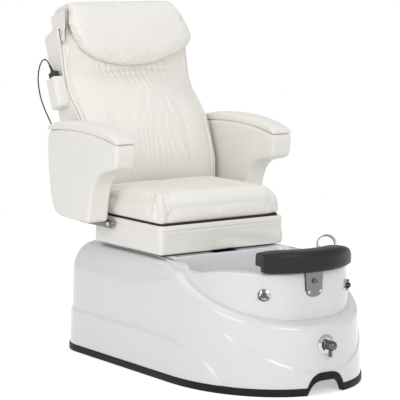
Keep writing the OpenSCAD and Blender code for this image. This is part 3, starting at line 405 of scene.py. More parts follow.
def normals_of(piece):
    normals = np.empty(len(piece.data.vertices) * 3, np.float32)
    piece.data.vertex_normals.foreach_get("vector", normals)
    return normals.reshape(-1, 3).astype(float)


def set_points(piece, points):
    piece.data.vertices.foreach_set("co", np.asarray(points, float).ravel())
    piece.data.update()


def remeshed(piece, step, rounding):
    """The piece in even faces, its edges rounded by passes of smoothing."""
    shaped(piece, "REMESH", mode="VOXEL", voxel_size=step)
    shaped(piece, "SMOOTH", factor=0.5, iterations=rounding)
    shade_smooth(piece)
    return piece


def padded_out(piece, pressure, most, held=None, frames=20):
    """Swells the cover like a stuffed one, by simulated cloth, moving no point by more than most."""
    rest = points_of(piece)
    if held is not None:
        group = piece.vertex_groups.new(name="held")
        for number in np.nonzero(held > 0)[0]:
            group.add([int(number)], float(held[number]), "REPLACE")
    cloth = piece.modifiers.new("cover", "CLOTH")
    settings = cloth.settings
    settings.quality = 5
    settings.mass = 0.3
    settings.tension_stiffness = 20
    settings.compression_stiffness = 20
    settings.shear_stiffness = 8
    settings.bending_stiffness = 2
    settings.use_pressure = True
    settings.uniform_pressure_force = pressure
    settings.effector_weights.gravity = 0
    if held is not None:
        settings.vertex_group_mass = "held"
    cloth.point_cache.frame_start = 1
    cloth.point_cache.frame_end = frames
    for number in range(1, frames + 1):
        SCENE.frame_set(number)
    graph = bpy.context.evaluated_depsgraph_get()
    swollen = piece.evaluated_get(graph)
    moved = np.empty(len(rest) * 3)
    swollen.data.vertices.foreach_get("co", moved)
    step = moved.reshape(-1, 3) - rest
    length = np.linalg.norm(step, axis=1, keepdims=True)
    step *= np.minimum(1.0, most / np.maximum(length, 1e-9))
    piece.modifiers.clear()
    piece.vertex_groups.clear()
    SCENE.frame_set(1)
    set_points(piece, rest + step)


def finer(piece):
    """One level of subdivision, applied."""
    return shaped(piece, "SUBSURF", levels=1, render_levels=1)


def line_distance(points, path):
    """Each point's distance from a path, and how far along it the nearest place is, 0 to 1."""
    path = np.asarray([tuple(p) for p in path], float)
    starts, steps = path[:-1], np.diff(path, axis=0)
    lengths = np.linalg.norm(steps, axis=1)
    run = np.concatenate([[0], np.cumsum(lengths)])
    best = np.full(len(points), 1e9)
    along = np.zeros(len(points))
    for start, step, length, done in zip(starts, steps, lengths, run):
        share = np.clip((points - start) @ step / max(length ** 2, 1e-12), 0, 1)
        gap = np.linalg.norm(points - start - share[:, None] * step, axis=1)
        nearer = gap < best
        best[nearer] = gap[nearer]
        along[nearer] = ((done + share * length) / run[-1])[nearer]
    return best, along


def creased(piece, path, depth, width, shoulder=0.35):
    """Presses a groove along a path on the surface, with the cover raised beside it."""
    points, normals = points_of(piece), normals_of(piece)
    gap, _ = line_distance(points, path)
    dip = -np.exp(-(gap / width) ** 2)
    rise = shoulder * np.exp(-((gap - 2.2 * width) / (1.2 * width)) ** 2)
    set_points(piece, points + normals * (depth * (dip + rise))[:, None])


def smooth_path(points, count):
    """A Catmull-Rom path through points, in a number of even steps."""
    points = [Vector(p) for p in points]
    spans = len(points) - 1
    result = []
    for number in range(count + 1):
        place = number / count * spans
        index = min(int(place), spans - 1)
        share = place - index
        a, b, c, d = (points[min(max(index + k, 0), spans)] for k in (-1, 0, 1, 2))
        result.append(0.5 * (
            2 * b + (c - a) * share + (2 * a - 5 * b + 4 * c - d) * share ** 2
            + (3 * b - a - 3 * c + d) * share ** 3))
    return result


def on_surface(piece, path, lift=0.0):
    """The path's points moved to the piece's surface, and raised by lift."""
    tree = BVHTree.FromPolygons(
        [v.co for v in piece.data.vertices], [p.vertices for p in piece.data.polygons])
    result = []
    for point in path:
        place, normal, _, _ = tree.find_nearest(Vector(point))
        result.append(place + normal * lift)
    return result


def grid_faces(rows, count, closed=False):
    """Four-sided faces between rows of points, each row a ring of count points."""
    faces = []
    for row in range(rows if closed else rows - 1):
        after = (row + 1) % rows
        for k in range(count):
            k2 = (k + 1) % count
            faces.append((row * count + k, row * count + k2, after * count + k2, after * count + k))
    return faces


def circle(centre, ahead, side, radius, sides):
    """A ring of points round a line that runs ahead, starting to its side."""
    up = ahead.cross(side)
    turns = [2 * math.pi * k / sides for k in range(sides)]
    return [centre + (side * math.cos(turn) + up * math.sin(turn)) * radius for turn in turns]


def add_tube(points, faces, rings):
    """Adds rings to a mesh's points, joined as a tube with closed ends."""
    first, sides = len(points), len(rings[0])
    last = (len(rings) - 1) * sides
    new = grid_faces(len(rings), sides)
    new += [tuple(reversed(range(sides))), tuple(range(last, last + sides))]
    points += [point for ring in rings for point in ring]
    faces += [tuple(first + number for number in face) for face in new]


def tube(name, path, radius, sides=8):
    """A round tube mesh along a path."""
    path = [Vector(p) for p in path]
    rings = []
    side = None
    for number, place in enumerate(path):
        ahead = path[min(number + 1, len(path) - 1)] - path[max(number - 1, 0)]
        ahead.normalize()
        if side is None:
            side = ahead.orthogonal().normalized()
        side = (side - ahead * side.dot(ahead)).normalized()
        rings.append(circle(place, ahead, side, radius, sides))
    points, faces = [], []
    add_tube(points, faces, rings)
    return mesh_piece(name, points, faces)


STITCH_STEP, STITCH_LENGTH, STITCH_R, STITCH_SIDES = 0.0075, 0.0052, 0.0005, 5
STITCH_ENDS = ((0.0, 0.35), (0.25, 1.0), (0.75, 1.0), (1.0, 0.35))  # Shares of length and radius.


def stitches(name, path):
    """A row of short raised stitches along a path."""
    runs = [0.0]
    for a, b in zip(path, path[1:]):
        runs.append(runs[-1] + (b - a).length)

    def at(distance):
        index = max(min(np.searchsorted(runs, distance), len(path) - 1), 1)
        share = (distance - runs[index - 1]) / max(runs[index] - runs[index - 1], 1e-9)
        return path[index - 1].lerp(path[index], min(max(share, 0), 1))

    points, faces = [], []
    place = STITCH_STEP / 2
    while place + STITCH_LENGTH < runs[-1]:
        a, b = at(place), at(place + STITCH_LENGTH)
        ahead = (b - a).normalized()
        side = ahead.orthogonal().normalized()
        add_tube(points, faces, [
            circle(a.lerp(b, share), ahead, side, STITCH_R * size, STITCH_SIDES)
            for share, size in STITCH_ENDS])
        place += STITCH_STEP
    return mesh_piece(name, points, faces)


def cream_leather():
    """The upholstery's one leather, made when it is first asked for."""
    return bpy.data.materials.get("cream_leather") or leather(
        "cream_leather", SCENE.spa_chair_colours.leather)


def dressed(piece, material, body, slot, *nodes):
    """Gives a piece its material, its body, its slot and the solids it stands for."""
    piece.data.materials.clear()
    piece.data.materials.append(material)
    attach(piece, body)
    if nodes:
        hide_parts(*nodes)


PIPING_GROOVE = 0.0022
PIPING_LIFT = 0.0006


def piping_lines(piece, paths, count, width):
    """The lines that piping follows on a piece, each pressed into its cover."""
    lines = []
    for path in paths:
        lines.append(on_surface(piece, smooth_path(path, count)))
        creased(piece, lines[-1], PIPING_GROOVE, width)
    return lines


def lay_piping(piece, lines, name, body, slot):
    """Round piping in the grooves of the right side and the left side."""
    for line, word in zip(lines, ("right", "left")):
        welt = tube(f"{name}_{word}", on_surface(piece, line, PIPING_LIFT),
                    SCENE.spa_chair_sizes.welt_radius)
        dressed(welt, cream_leather(), body, slot)


def coat(node, material):
    """Gives a packed solid that stays in view its material."""
    solid = SOLIDS[node]
    if solid.data.materials:
        for number in range(len(solid.material_slots)):
            solid.material_slots[number].material = material
    else:
        solid.data.materials.append(material)


# ---------------------------------------------------------------- tub

HALF_W = 347.0
TUB_REAR = 620.0
TUB_FRONT = -603.0
NOSE_Y = TUB_FRONT + 450.0
CORNER_R = 149.0
FULLNESS = 2.1
DECK_Z = 412.0
SHELL_T = 7.0
RIM_R = 8.0
RIDGE = 5.0
TRIM_H = 27.0
BASIN_W, BASIN_REAR, BASIN_FRONT, BASIN_R = 262.0, -22.0, TUB_FRONT + 112.0, 50.0
BASIN_FLOOR = 150.0
DRAFT = 0.03
# Points along half of the outline: round the nose, along the side, round the corner, over the rear.
STATIONS = (96, 44, 26, 20)
HALF = sum(STATIONS)
# The tub's lines, by the distance along its floor outline from the front centre.
DIP_DEPTH, DIP_AT, DIP_SPREAD = 22.0, 580.0, 130.0
SWEEP_LOW, SWEEP_END, SWEEP_POWER = 249.0, 675.0, 2.3
REAR_FROM, REAR_BLEND = 600.0, 300.0
SHOULDER_FRONT_H, SHOULDER_REAR_H = 30.0, 112.0
SHOULDER_FRONT_W, SHOULDER_REAR_W = 34.0, 85.0
SHOULDER_NOSE_W, SHOULDER_NOSE_SPREAD = 30.0, 150.0
ARCH_H, ARCH_HALF_W = 48.0, 78.0
RIDGE_FROM, RIDGE_TO, RIDGE_TOP = 380.0, 750.0, 158.0
NOSE_RIDGE_LOW, NOSE_RIDGE_RISE, NOSE_RIDGE_RUN = 70.0, 115.0, 340.0
NOSE_FADE_FROM, NOSE_FADE = 330.0, 80.0
SIDE_STEP, NOSE_STEP = 16.0, 14.0


def smooth(share):
    share = np.clip(share, 0, 1)
    return share * share * (3 - 2 * share)


def mix(first, second, share):
    return first + (second - first) * share


def plan(w, rear, front, nose, corner):
    """A closed outline with a curved nose: two columns, from the front centre round the right side."""
    nose_n, side_n, corner_n, rear_n = STATIONS
    step = np.arange(2 * HALF)
    left = step > HALF
    j = np.minimum(step, 2 * HALF - step)
    w, rear, front, corner = (np.broadcast_to(v, (2 * HALF,)) for v in (w, rear, front, corner))
    turn = np.radians(90 * np.clip(j / nose_n, 0, 1) ** 1.5)
    power = 2 / FULLNESS
    x = -w * np.sin(turn) ** power
    y = nose - (nose - front) * np.maximum(np.cos(turn), 0) ** power
    side = (j > nose_n) & (j <= nose_n + side_n)
    x = np.where(side, -w, x)
    y = np.where(side, mix(nose, rear - corner, (j - nose_n) / side_n), y)
    bend = (j > nose_n + side_n) & (j <= nose_n + side_n + corner_n)
    turn = np.radians(90 * np.clip((j - nose_n - side_n) / corner_n, 0, 1))
    x = np.where(bend, -w + corner - corner * np.cos(turn), x)
    y = np.where(bend, rear - corner + corner * np.sin(turn), y)
    back = j > nose_n + side_n + corner_n
    x = np.where(back, (-w + corner) * (HALF - j) / rear_n, x)
    y = np.where(back, rear, y)
    return np.stack([np.where(left, -x, x), y], 1)


def tub_plan(inset):
    return plan(HALF_W - inset, TUB_REAR - inset, TUB_FRONT + inset, NOSE_Y,
                np.maximum(CORNER_R - inset, 25))


def basin_plan(inset):
    return plan(BASIN_W - inset, BASIN_REAR - inset, BASIN_FRONT + inset, NOSE_Y,
                np.maximum(BASIN_R - inset / 2, 20))


def outline_run():
    """Distance of each station from the front centre, along the floor outline."""
    edge = tub_plan(0)[:HALF + 1]
    run = np.concatenate([[0], np.cumsum(np.linalg.norm(np.diff(edge, axis=0), axis=1))])
    step = np.arange(2 * HALF)
    return run[np.minimum(step, 2 * HALF - step)]


RUN = outline_run()
RIM_Z = DECK_Z - DIP_DEPTH * np.exp(-((RUN - DIP_AT) / DIP_SPREAD) ** 2)
SWEEP = (np.minimum(RUN, SWEEP_END) / SWEEP_END) ** SWEEP_POWER
SWEEP_Z = np.minimum(
    np.where(RUN < SWEEP_END, mix(SWEEP_LOW, DECK_Z - 2, SWEEP), DECK_Z), RIM_Z - RIM_R + 2)
REAR = smooth((RUN - REAR_FROM) / REAR_BLEND)
SHOULDER_H = mix(SHOULDER_FRONT_H, SHOULDER_REAR_H, REAR)
SHOULDER_W = mix(
    SHOULDER_FRONT_W + SHOULDER_NOSE_W * np.exp(-(RUN / SHOULDER_NOSE_SPREAD) ** 2),
    SHOULDER_REAR_W, REAR)
ARCH_Z = np.where(RUN < ARCH_HALF_W, ARCH_H * (1 - (RUN / ARCH_HALF_W) ** 4), 0.0)
RIDGE_ARC = np.clip(1 - ((RIDGE_TO - RUN) / (RIDGE_TO - RIDGE_FROM)) ** 2, 0, 1)
SIDE_RIDGE = np.where(
    RUN < RIDGE_FROM, -60.0,
    np.where(RUN < RIDGE_TO, RIDGE_TOP * np.sqrt(RIDGE_ARC), RIDGE_TOP))
NOSE_RIDGE = NOSE_RIDGE_LOW + NOSE_RIDGE_RISE * (RUN / NOSE_RIDGE_RUN) ** 1.5


def wall_inset(z):
    """How far the outer wall stands in from the floor outline at each station."""
    nose = np.maximum(smooth((z - NOSE_RIDGE) / NOSE_STEP + 0.5),
                      smooth((RUN - NOSE_FADE_FROM) / NOSE_FADE))
    return DRAFT * z + RIDGE * (smooth((z - SIDE_RIDGE) / SIDE_STEP + 0.5) + nose - 1)


def level(outline, z):
    """A ring of points, in metres, in the chair's frame."""
    z = np.broadcast_to(z, (len(outline),))
    return np.stack([outline[:, 0] * MM, outline[:, 1] * MM + CENTRE_Y, z * MM], 1)


def low_ring(share, extra=0.0):
    z = mix(ARCH_Z + TRIM_H, SWEEP_Z - SHOULDER_H, share)
    return level(tub_plan(wall_inset(z) + extra), z)


def shoulder_ring(angle, inward=0.0):
    turn = math.radians(angle)
    z = SWEEP_Z - SHOULDER_H
    inset = wall_inset(z) + SHOULDER_W * (1 - math.cos(turn)) + inward * math.cos(turn)
    return level(tub_plan(inset), z + (SHOULDER_H - inward) * math.sin(turn))


def upper_inset(share):
    rise = np.maximum(RIM_Z - RIM_R - SWEEP_Z, 0)
    return wall_inset(SWEEP_Z - SHOULDER_H) + SHOULDER_W + 2 * share + DRAFT * share * rise


def upper_ring(share):
    return level(tub_plan(upper_inset(share)),
                 SWEEP_Z + share * np.maximum(RIM_Z - RIM_R - SWEEP_Z, 0))


def rim_ring(angle):
    turn = math.radians(angle)
    return level(tub_plan(upper_inset(1) + RIM_R * (1 - math.cos(turn))),
                 RIM_Z - RIM_R + RIM_R * math.sin(turn))


def basin_rings():
    """The basin from its floor to its rolled edge."""
    profile = [(86, 150), (58, 156), (46, 174), (28, 294), (9, 398), (4, 408), (0, 412)]
    path = smooth_path([(inset, z, 0) for inset, z in profile], 30)
    rings = []
    for inset, z, _ in path:
        near_rim = smooth((z - 294) / 100)
        rings.append(level(basin_plan(inset), z + (RIM_Z - DECK_Z) * near_rim))
    return rings


def skin(name, rings, closed=False):
    """A closed skin over rings of equal length, its ends closed by fans, or joined as a loop."""
    rings = [np.asarray(ring) for ring in rings]
    count, rows = len(rings[0]), len(rings)
    points = np.concatenate(rings)
    faces = grid_faces(rows, count, closed)
    if not closed:
        first, last = rings[0].mean(0), rings[-1].mean(0)
        points = np.concatenate([points, [first, last]])
        hub = rows * count
        for k in range(count):
            k2 = (k + 1) % count
            faces.append((hub, k2, k))
            faces.append((hub + 1, (rows - 1) * count + k, (rows - 1) * count + k2))
    return mesh_piece(name, points, faces)


def upright(x, y, z=0.0):
    """A frame at a point given from the tub's mid-length."""
    return Matrix.Translation((x * MM, y * MM + CENTRE_Y, z * MM))


def nose_at(x, inset):
    """How far forward the tub's nose reaches at x."""
    w, depth = HALF_W - inset, NOSE_Y - TUB_FRONT - inset
    return NOSE_Y - depth * (1 - (abs(x) / w) ** FULLNESS) ** (1 / FULLNESS)


def on_nose(x, inset, z):
    """A frame on the tub's nose whose Z axis points outward."""
    slope = (nose_at(x + 1, inset) - nose_at(x - 1, inset)) / 2
    turn = Matrix.Rotation(math.atan(slope), 4, "Z") @ Matrix.Rotation(math.pi / 2, 4, "X")
    return upright(x, nose_at(x, inset), z) @ turn


CUTTER_SIDES = 48


def plug(work, matrix, radius, low, high):
    """Adds a round cutter to a mesh under work, between two heights along a frame's Z."""
    bmesh.ops.create_cone(
        work, cap_ends=True, segments=CUTTER_SIDES, radius1=radius * MM, radius2=radius * MM,
        depth=(high - low) * MM,
        matrix=matrix @ Matrix.Translation((0, 0, (low + high) / 2 * MM)))


def block(work, low, high):
    """Adds a box cutter between two corners, in millimetres from the tub's mid-length."""
    middle = Vector(((low[k] + high[k]) / 2 * MM for k in range(3)))
    size = [(high[k] - low[k]) * MM for k in range(3)]
    bmesh.ops.create_cube(
        work, size=1, matrix=Matrix.Translation(middle + Vector((0, CENTRE_Y, 0)))
        @ Matrix.Diagonal((*size, 1)))


def cut(piece, fill):
    """Cuts the shapes that fill(work) makes out of a piece."""
    work = bmesh.new()
    fill(work)
    mesh = bpy.data.meshes.new("cutter")
    work.to_mesh(mesh)
    work.free()
    cutter = bpy.data.objects.new("cutter", mesh)
    SCENE.collection.objects.link(cutter)
    shaped(piece, "BOOLEAN", operation="DIFFERENCE", solver="MANIFOLD", object=cutter)
    bpy.data.objects.remove(cutter)


TAP_X, TAP_Z, TAP_INSET = 173.0, 339.0, 58.5
TAP_SEAT_R, TAP_BORE_R = 21.3, 10.8
MIXER_Z, MIXER_INSET = 170.0, 13.0
MIXER_SEAT_R, MIXER_BORE_R = 34.3, 21.8
PLATE_Y, PLATE_LOW, PLATE_HALF_W = -518.8, 324.0, 38.3
PLATE_FOOT_R, PLATE_FOOT_STRETCH = 22.3, 1.486
SPRAY_X, SPRAY_Y, SPRAY_Z, SPRAY_R = 262.0, -262.0, 389.1, 10.3
DRAIN_Y, DRAIN_R = -250.0, 23.0
JET_X, JET_Y, JET_Z, JET_R = 225.1, -120.0, 235.0, 10.3
JET_TILT = math.radians(90 - 10)
CHANNEL_LOW, CHANNEL_HIGH = (-55.3, -14.3, 388), (55.3, 452.3, 417)
ABOVE_RIM = 435.0


def wide_cuts(work):
    """Seats of the escutcheons, the footrest's plate, the spray holder and the slide channel."""
    for side in (-1, 1):
        plug(work, on_nose(side * TAP_X, TAP_INSET, TAP_Z), TAP_SEAT_R, 0, 30)
    plug(work, on_nose(0, MIXER_INSET, MIXER_Z), MIXER_SEAT_R, 0, 30)
    plug(work, upright(SPRAY_X, SPRAY_Y), SPRAY_R, SPRAY_Z, ABOVE_RIM)
    block(work, CHANNEL_LOW, CHANNEL_HIGH)
    block(work, (-PLATE_HALF_W, -560, PLATE_LOW + 22), (PLATE_HALF_W, PLATE_Y, ABOVE_RIM - 9))


def narrow_cuts(work):
    """Bores of the taps, mixer, drain and jets, and the foot of the plate's seat."""
    for side in (-1, 1):
        plug(work, on_nose(side * TAP_X, TAP_INSET, TAP_Z), TAP_BORE_R, -30, 12)
    plug(work, on_nose(0, MIXER_INSET, MIXER_Z), MIXER_BORE_R, -40, 12)
    foot = upright(0, PLATE_Y, PLATE_LOW + 22) @ Matrix.Rotation(math.pi / 2, 4, "X")
    plug(work, foot @ Matrix.Diagonal((PLATE_FOOT_STRETCH, 1, 1, 1)), PLATE_FOOT_R, 0, 40)
    plug(work, upright(0, DRAIN_Y), DRAIN_R, 130, 160)
    for side in (-1, 1):
        tilt = Matrix.Rotation(-side * JET_TILT, 4, "Y")
        plug(work, upright(side * JET_X, JET_Y, JET_Z) @ tilt, JET_R, -12, 12)


def build_tub():
    """The moulded tub in one skin, and the rubber edge round its base."""
    colours = SCENE.spa_chair_colours
    rings = basin_rings()
    edge, rim = rings[-1], rim_ring(90)
    rings += [mix(edge, rim, share) for share in (0.15, 0.35, 0.55, 0.75, 0.9)]
    rings += [rim_ring(angle) for angle in (90, 78, 66, 54, 42, 30, 18, 6)]
    rings += [upper_ring(share) for share in (1, 0.8, 0.6, 0.4, 0.2)]
    rings += [shoulder_ring(angle) for angle in range(90, 0, -9)]
    rings += [low_ring(1 - number / 56) for number in range(57)]
    inner = 2 * RIDGE + SHELL_T + 2
    floor_z = ARCH_Z + TRIM_H
    mid_z = mix(floor_z, SWEEP_Z - SHOULDER_H, 0.5)
    rings += [level(tub_plan(inner), floor_z), level(tub_plan(inner + 6), mid_z),
              shoulder_ring(0, SHELL_T + 2), shoulder_ring(45, SHELL_T), shoulder_ring(75, SHELL_T),
              level(tub_plan(upper_inset(0) + SHELL_T),
                    np.minimum(SWEEP_Z - SHELL_T, RIM_Z - RIM_R - SHELL_T - 2)),
              level(tub_plan(upper_inset(1) + SHELL_T), RIM_Z - RIM_R - SHELL_T),
              level(tub_plan(upper_inset(1) + SHELL_T + 2), RIM_Z - SHELL_T),
              level(basin_plan(-SHELL_T), RIM_Z - SHELL_T),
              level(basin_plan(1 - SHELL_T), RIM_Z - 14 - SHELL_T),
              level(basin_plan(28 - SHELL_T), mix(BASIN_FLOOR, DECK_Z, 0.55) - 3),
              level(basin_plan(46 - SHELL_T), BASIN_FLOOR + 20),
              level(basin_plan(60 - SHELL_T), BASIN_FLOOR - SHELL_T)]
    tub = skin("tub_moulding", rings)
    cut(tub, wide_cuts)
    cut(tub, narrow_cuts)
    shade_smooth(tub, 38)
    dressed(tub, gelcoat("tub_gelcoat", colours.gelcoat), "tub", "tub_gelcoat", "tub_shell")

    def trim_ring(inset, rise):
        return level(tub_plan(inset), ARCH_Z + rise)

    section = [(18, 0), (2, 0), (-1, 0.6), (-2.4, 2), (-3, 4), (-3, 10), (-3, 17), (-3, TRIM_H - 5),
               (-2.3, TRIM_H - 2.4), (-1.2, TRIM_H - 0.8), (0.6, TRIM_H), (18, TRIM_H)]
    trim = skin("base_edge", [trim_ring(inset, rise) for inset, rise in section], True)
    shade_smooth(trim, 40)
    dressed(trim, rubber("trim_rubber", colours.trim), "tub", "trim_rubber", "base_trim")


# ---------------------------------------------------------------- upholstery

PRESSURE = 4.0
SIDES = ((-1, "right"), (1, "left"))
PAD_INSET, PAD_DEPTH = 35.0, 86.0
PAD_RIGHT, PAD_LEFT = 188.0, 205.0


def build_footrest():
    """The curved footrest pad with its rolled front edge."""
    inset, depth = PAD_INSET, PAD_DEPTH

    def section(share):
        """The pad's section at a share of its half length: a front skirt and a raised rear part."""
        right = share < 0
        x = share * (PAD_RIGHT if right else PAD_LEFT)
        high = mix(66.0 if right else 50.0, 76.0, 1 - abs(share) ** (8 if right else 5))
        slope = (nose_at(x + 1, inset) - nose_at(x - 1, inset)) / 2
        turn = (0.75 - (0.41 * share ** 2 if right else 0)) * math.atan(slope)
        profile = [(1, 3), (0, 20), (0, high - 20), (3, high - 8), (9, high - 2.5), (20, high),
                   (depth / 2, high + 1), (depth - 22, high - 1), (depth - 8, high - 5),
                   (depth - 2, high - 13), (depth, high - 26), (depth, 19), (36, 19), (35, 3)]
        return [(x - back * math.sin(turn), nose_at(x, inset) + back * math.cos(turn), DECK_Z + up)
                for back, up in profile + [(20, 34)]]

    rows = np.array([section(math.sin(math.radians(angle))) for angle in range(-90, 91, 3)])
    rows = rows * MM + np.array([0, CENTRE_Y, 0])
    hub_first = np.repeat(rows[:1, -1], rows.shape[1] - 1, 0)
    hub_last = np.repeat(rows[-1:, -1], rows.shape[1] - 1, 0)
    pad = skin("footrest_cover", [hub_first, *rows[:, :-1], hub_last])
    remeshed(pad, 0.003, 3)
    padded_out(pad, 3.0, 0.002)
    colour = SCENE.spa_chair_colours.footrest
    black = leather("footrest_cover", colour, 0.38, 640.0, 0.0003, 0.2)
    dressed(pad, black, "footrest", "footrest_vinyl", "footrest_pad")


CUSHION_WELT_X = 0.262
CUSHION_SEAM_X = 0.148
CUSHION_HELD_Z = 0.532


def build_cushion():
    """The boxed seat cushion: crowned panels, side gussets and piping."""
    sizes = SCENE.spa_chair_sizes
    cushion = remeshed(from_solid("seat_cushion", "seat_cover"), sizes.weave_step, 7)
    rest = points_of(cushion)
    held = (rest[:, 2] < CUSHION_HELD_Z).astype(float)
    padded_out(cushion, PRESSURE, sizes.cushion_swell, held)
    finer(cushion)
    low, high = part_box("seat_cushion")
    front, rear = low.y, high.y
    points, normals = points_of(cushion), normals_of(cushion)
    # Broad soft hollows where the cover is drawn down, and a light crown between.
    across = points[:, 0] / 0.27
    ripple = (0.0012 * np.sin(points[:, 0] * 38 + 1.3 * np.sin(points[:, 1] * 17))
              * np.sin(points[:, 1] * 23 + 0.6))
    top = smooth((normals[:, 2] - 0.4) / 0.4)
    points = points + normals * (ripple * top * (1 - across ** 4))[:, None]
    # The left end of the cushion is plumper: its top and front edges fall away roundly.
    end = np.clip((points[:, 0] - 0.185) / 0.085, 0, 1) ** 2
    points[:, 2] -= 0.020 * end * smooth((points[:, 2] - 0.54) / 0.08)
    points[:, 1] += 0.020 * end * smooth((front + 0.10 - points[:, 1]) / 0.09)
    set_points(cushion, points)
    paths = [[(side * CUSHION_WELT_X, y, z) for y, z in (
        (rear - 0.03, 0.628), (rear - 0.16, 0.631), (front + 0.16, 0.629), (front + 0.07, 0.624),
        (front + 0.03, 0.612), (front + 0.008, 0.585), (front + 0.002, 0.560),
        (front + 0.004, 0.536))] for side in (-1, 1)]
    welts = piping_lines(cushion, paths, 70, 0.0035)
    seam = [(CUSHION_SEAM_X, y, z) for y, z in (
        (rear - 0.03, 0.632), (front + 0.15, 0.632), (front + 0.05, 0.622),
        (front + 0.012, 0.59), (front, 0.555), (front + 0.004, 0.534))]
    creased(cushion, on_surface(cushion, smooth_path(seam, 60)), 0.0018, 0.0028, 0.5)
    dressed(cushion, cream_leather(), "seat", "seat_leather", "seat_cushion")
    lay_piping(cushion, welts, "seat_piping", "seat", "seat_leather")


SKIRT_SEAM_Z = 0.4995
SKIRT_SLACK_Z = 0.500
SKIRT_CORNER = 0.016


def build_skirt():
    """The skirt under the seat: a band with a stitched seam along its top and soft folds."""
    skirt = finer(remeshed(from_solid("seat_skirt", "skirt_cover"), 0.0055, 2))
    points, normals = points_of(skirt), normals_of(skirt)
    x, y, z = points.T
    outward = smooth((0.6 - np.abs(normals[:, 2])) / 0.3)
    slack = smooth((SKIRT_SLACK_Z - z) / 0.05)
    fold = (0.0030 * np.sin((x * 0.8 + (z - 0.42) * 3.4) * 24 + 0.8) * smooth((x + 0.12) / 0.25)
            + 0.0012 * np.sin(x * 31 - z * 40 + y * 22))
    set_points(skirt, points + normals * (fold * slack * outward)[:, None])
    dressed(skirt, cream_leather(), "seat", "skirt_leather", "seat_skirt")
    low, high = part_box("seat_skirt")
    w, front, rear, corner = high.x, low.y, high.y, SKIRT_CORNER
    half = [(w, rear - 0.02), (w, (front + rear) / 2), (w, front + corner),
            (w - corner * 0.3, front + corner * 0.3), (w - corner, front)]
    path = [(x, y, SKIRT_SEAM_Z)
            for x, y in [(-x, y) for x, y in half] + [(0, front)] + half[::-1]]
    seam = on_surface(skirt, [p for a, b in zip(path, path[1:])
                              for p in (Vector(a), Vector(a).lerp(Vector(b), 0.5))])
    creased(skirt, seam, 0.0016, 0.0026, 0.5)
    thread = stitches("skirt_stitching", on_surface(skirt, seam, 0.0002))
    dressed(thread, cream_leather(), "seat", "skirt_leather")


# Pleats and gathers, in millimetres on the upright back: across and up where each starts, across
# and up where it ends, its share of the fold depth, and its width.
PLEATS = (
    (-150, 536, -146, 496, 0.7, 6), (-126, 530, -118, 476, 0.9, 6), (-98, 524, -92, 462, 0.8, 5),
    (-74, 520, -62, 446, 1.0, 6), (-44, 517, -38, 466, 0.8, 5), (-20, 515, -22, 430, 1.1, 6),
    (6, 515, 4, 462, 0.8, 5), (30, 516, 36, 418, 1.2, 6), (54, 518, 58, 424, 1.0, 6),
    (84, 522, 84, 440, 0.9, 6), (110, 527, 116, 470, 0.7, 6), (140, 534, 140, 456, 0.9, 7),
    (172, 545, 170, 496, 0.7, 7), (40, 430, -64, 262, 0.8, 9), (4, 350, -20, 262, 0.7, 8),
    (104, 400, 92, 262, 0.9, 9), (70, 372, 40, 268, 0.6, 9), (128, 420, 138, 330, 0.5, 10),
)
GATHERS = (
    (-110, 236, -128, 150, 0.6, 7), (-90, 242, -104, 120, 0.9, 7), (-66, 250, -84, 92, 1.1, 7),
    (-46, 240, -62, 74, 1.2, 6), (-24, 246, -42, 96, 1.0, 6), (-6, 238, -16, 126, 0.8, 6),
    (14, 244, 16, 84, 1.0, 7), (32, 240, 52, 106, 1.2, 6), (48, 246, 84, 92, 1.3, 7),
    (66, 240, 112, 118, 1.1, 6), (84, 244, 136, 96, 1.2, 7), (104, 236, 156, 132, 0.9, 7),
    (124, 228, 176, 150, 0.8, 8), (-76, 262, -92, 318, 0.7, 7), (-30, 262, -38, 312, 0.7, 6),
    (20, 262, 22, 306, 0.6, 6), (60, 262, 74, 318, 0.7, 7), (108, 258, 122, 306, 0.6, 8),
    (-132, 110, -112, 62, 0.6, 8), (-30, 84, -24, 48, 0.6, 7), (60, 84, 66, 46, 0.5, 8),
)


def folded(piece, strokes, depth):
    """Presses tapered folds, given in the back's own millimetres, into the front of the back pad."""
    points, normals = points_of(piece), normals_of(piece)
    local = to_back(points) / MM
    front = smooth((-local[:, 1] - 22) / 14)
    flat = local[:, [0, 2]]  # Across and up.
    height = np.zeros(len(points))
    for x0, z0, x1, z1, share, width in strokes:
        bend = (x1 - x0) * 0.25 + 3.0
        path = [(x0, z0), (x0 * 0.66 + x1 * 0.34 - bend * 0.4, mix(z0, z1, 0.34)),
                (x0 * 0.33 + x1 * 0.67 - bend * 0.3, mix(z0, z1, 0.67)), (x1, z1)]
        gap, along = line_distance(flat, path)
        taper = np.sin(np.pi * np.clip(along * 0.86 + 0.10, 0, 1)) ** 0.8
        height += share * taper * (-np.exp(-(gap / width) ** 2)
                                   + 0.5 * np.exp(-((gap - 2.1 * width) / (1.3 * width)) ** 2))
    height = np.clip(height, -1.4, 0.8)
    set_points(piece, points + normals * (height * front * depth)[:, None])


# Lines along each side of the upright back, in millimetres: across, front to rear, up.
PANEL_SEAM = ((128, -50, 560), (136, -40, 510), (150, -52, 447), (161, -74, 393), (168, -101, 335),
              (177, -115, 293), (184, -120, 230), (182, -120, 160), (170, -105, 90))
BACK_WELT = ((246, -62, 600), (252, -42, 560), (256, -34, 510), (258, -32, 462), (259, -50, 400),
             (260, -72, 342), (261, -84, 303), (262, -96, 250), (262, -98, 190), (260, -90, 120),
             (258, -66, 60))
SHELL_BAND = ((268, -42, 26), (269, -52, 50), (269, -66, 80), (269, -80, 120), (269, -88, 176),
              (269, -87, 240), (269, -80, 296), (269, -56, 361), (269, -31, 410), (269, -19, 458),
              (269, -22, 510), (269, -30, 554), (268, -32, 600), (262, -16, 640), (250, 8, 664))


BACK_HELD_Y = -0.030


def on_side(side, line):
    """A line of the back's side on the right, -1, or on the left, 1."""
    return [on_back(side * x, y, z) for x, y, z in line]


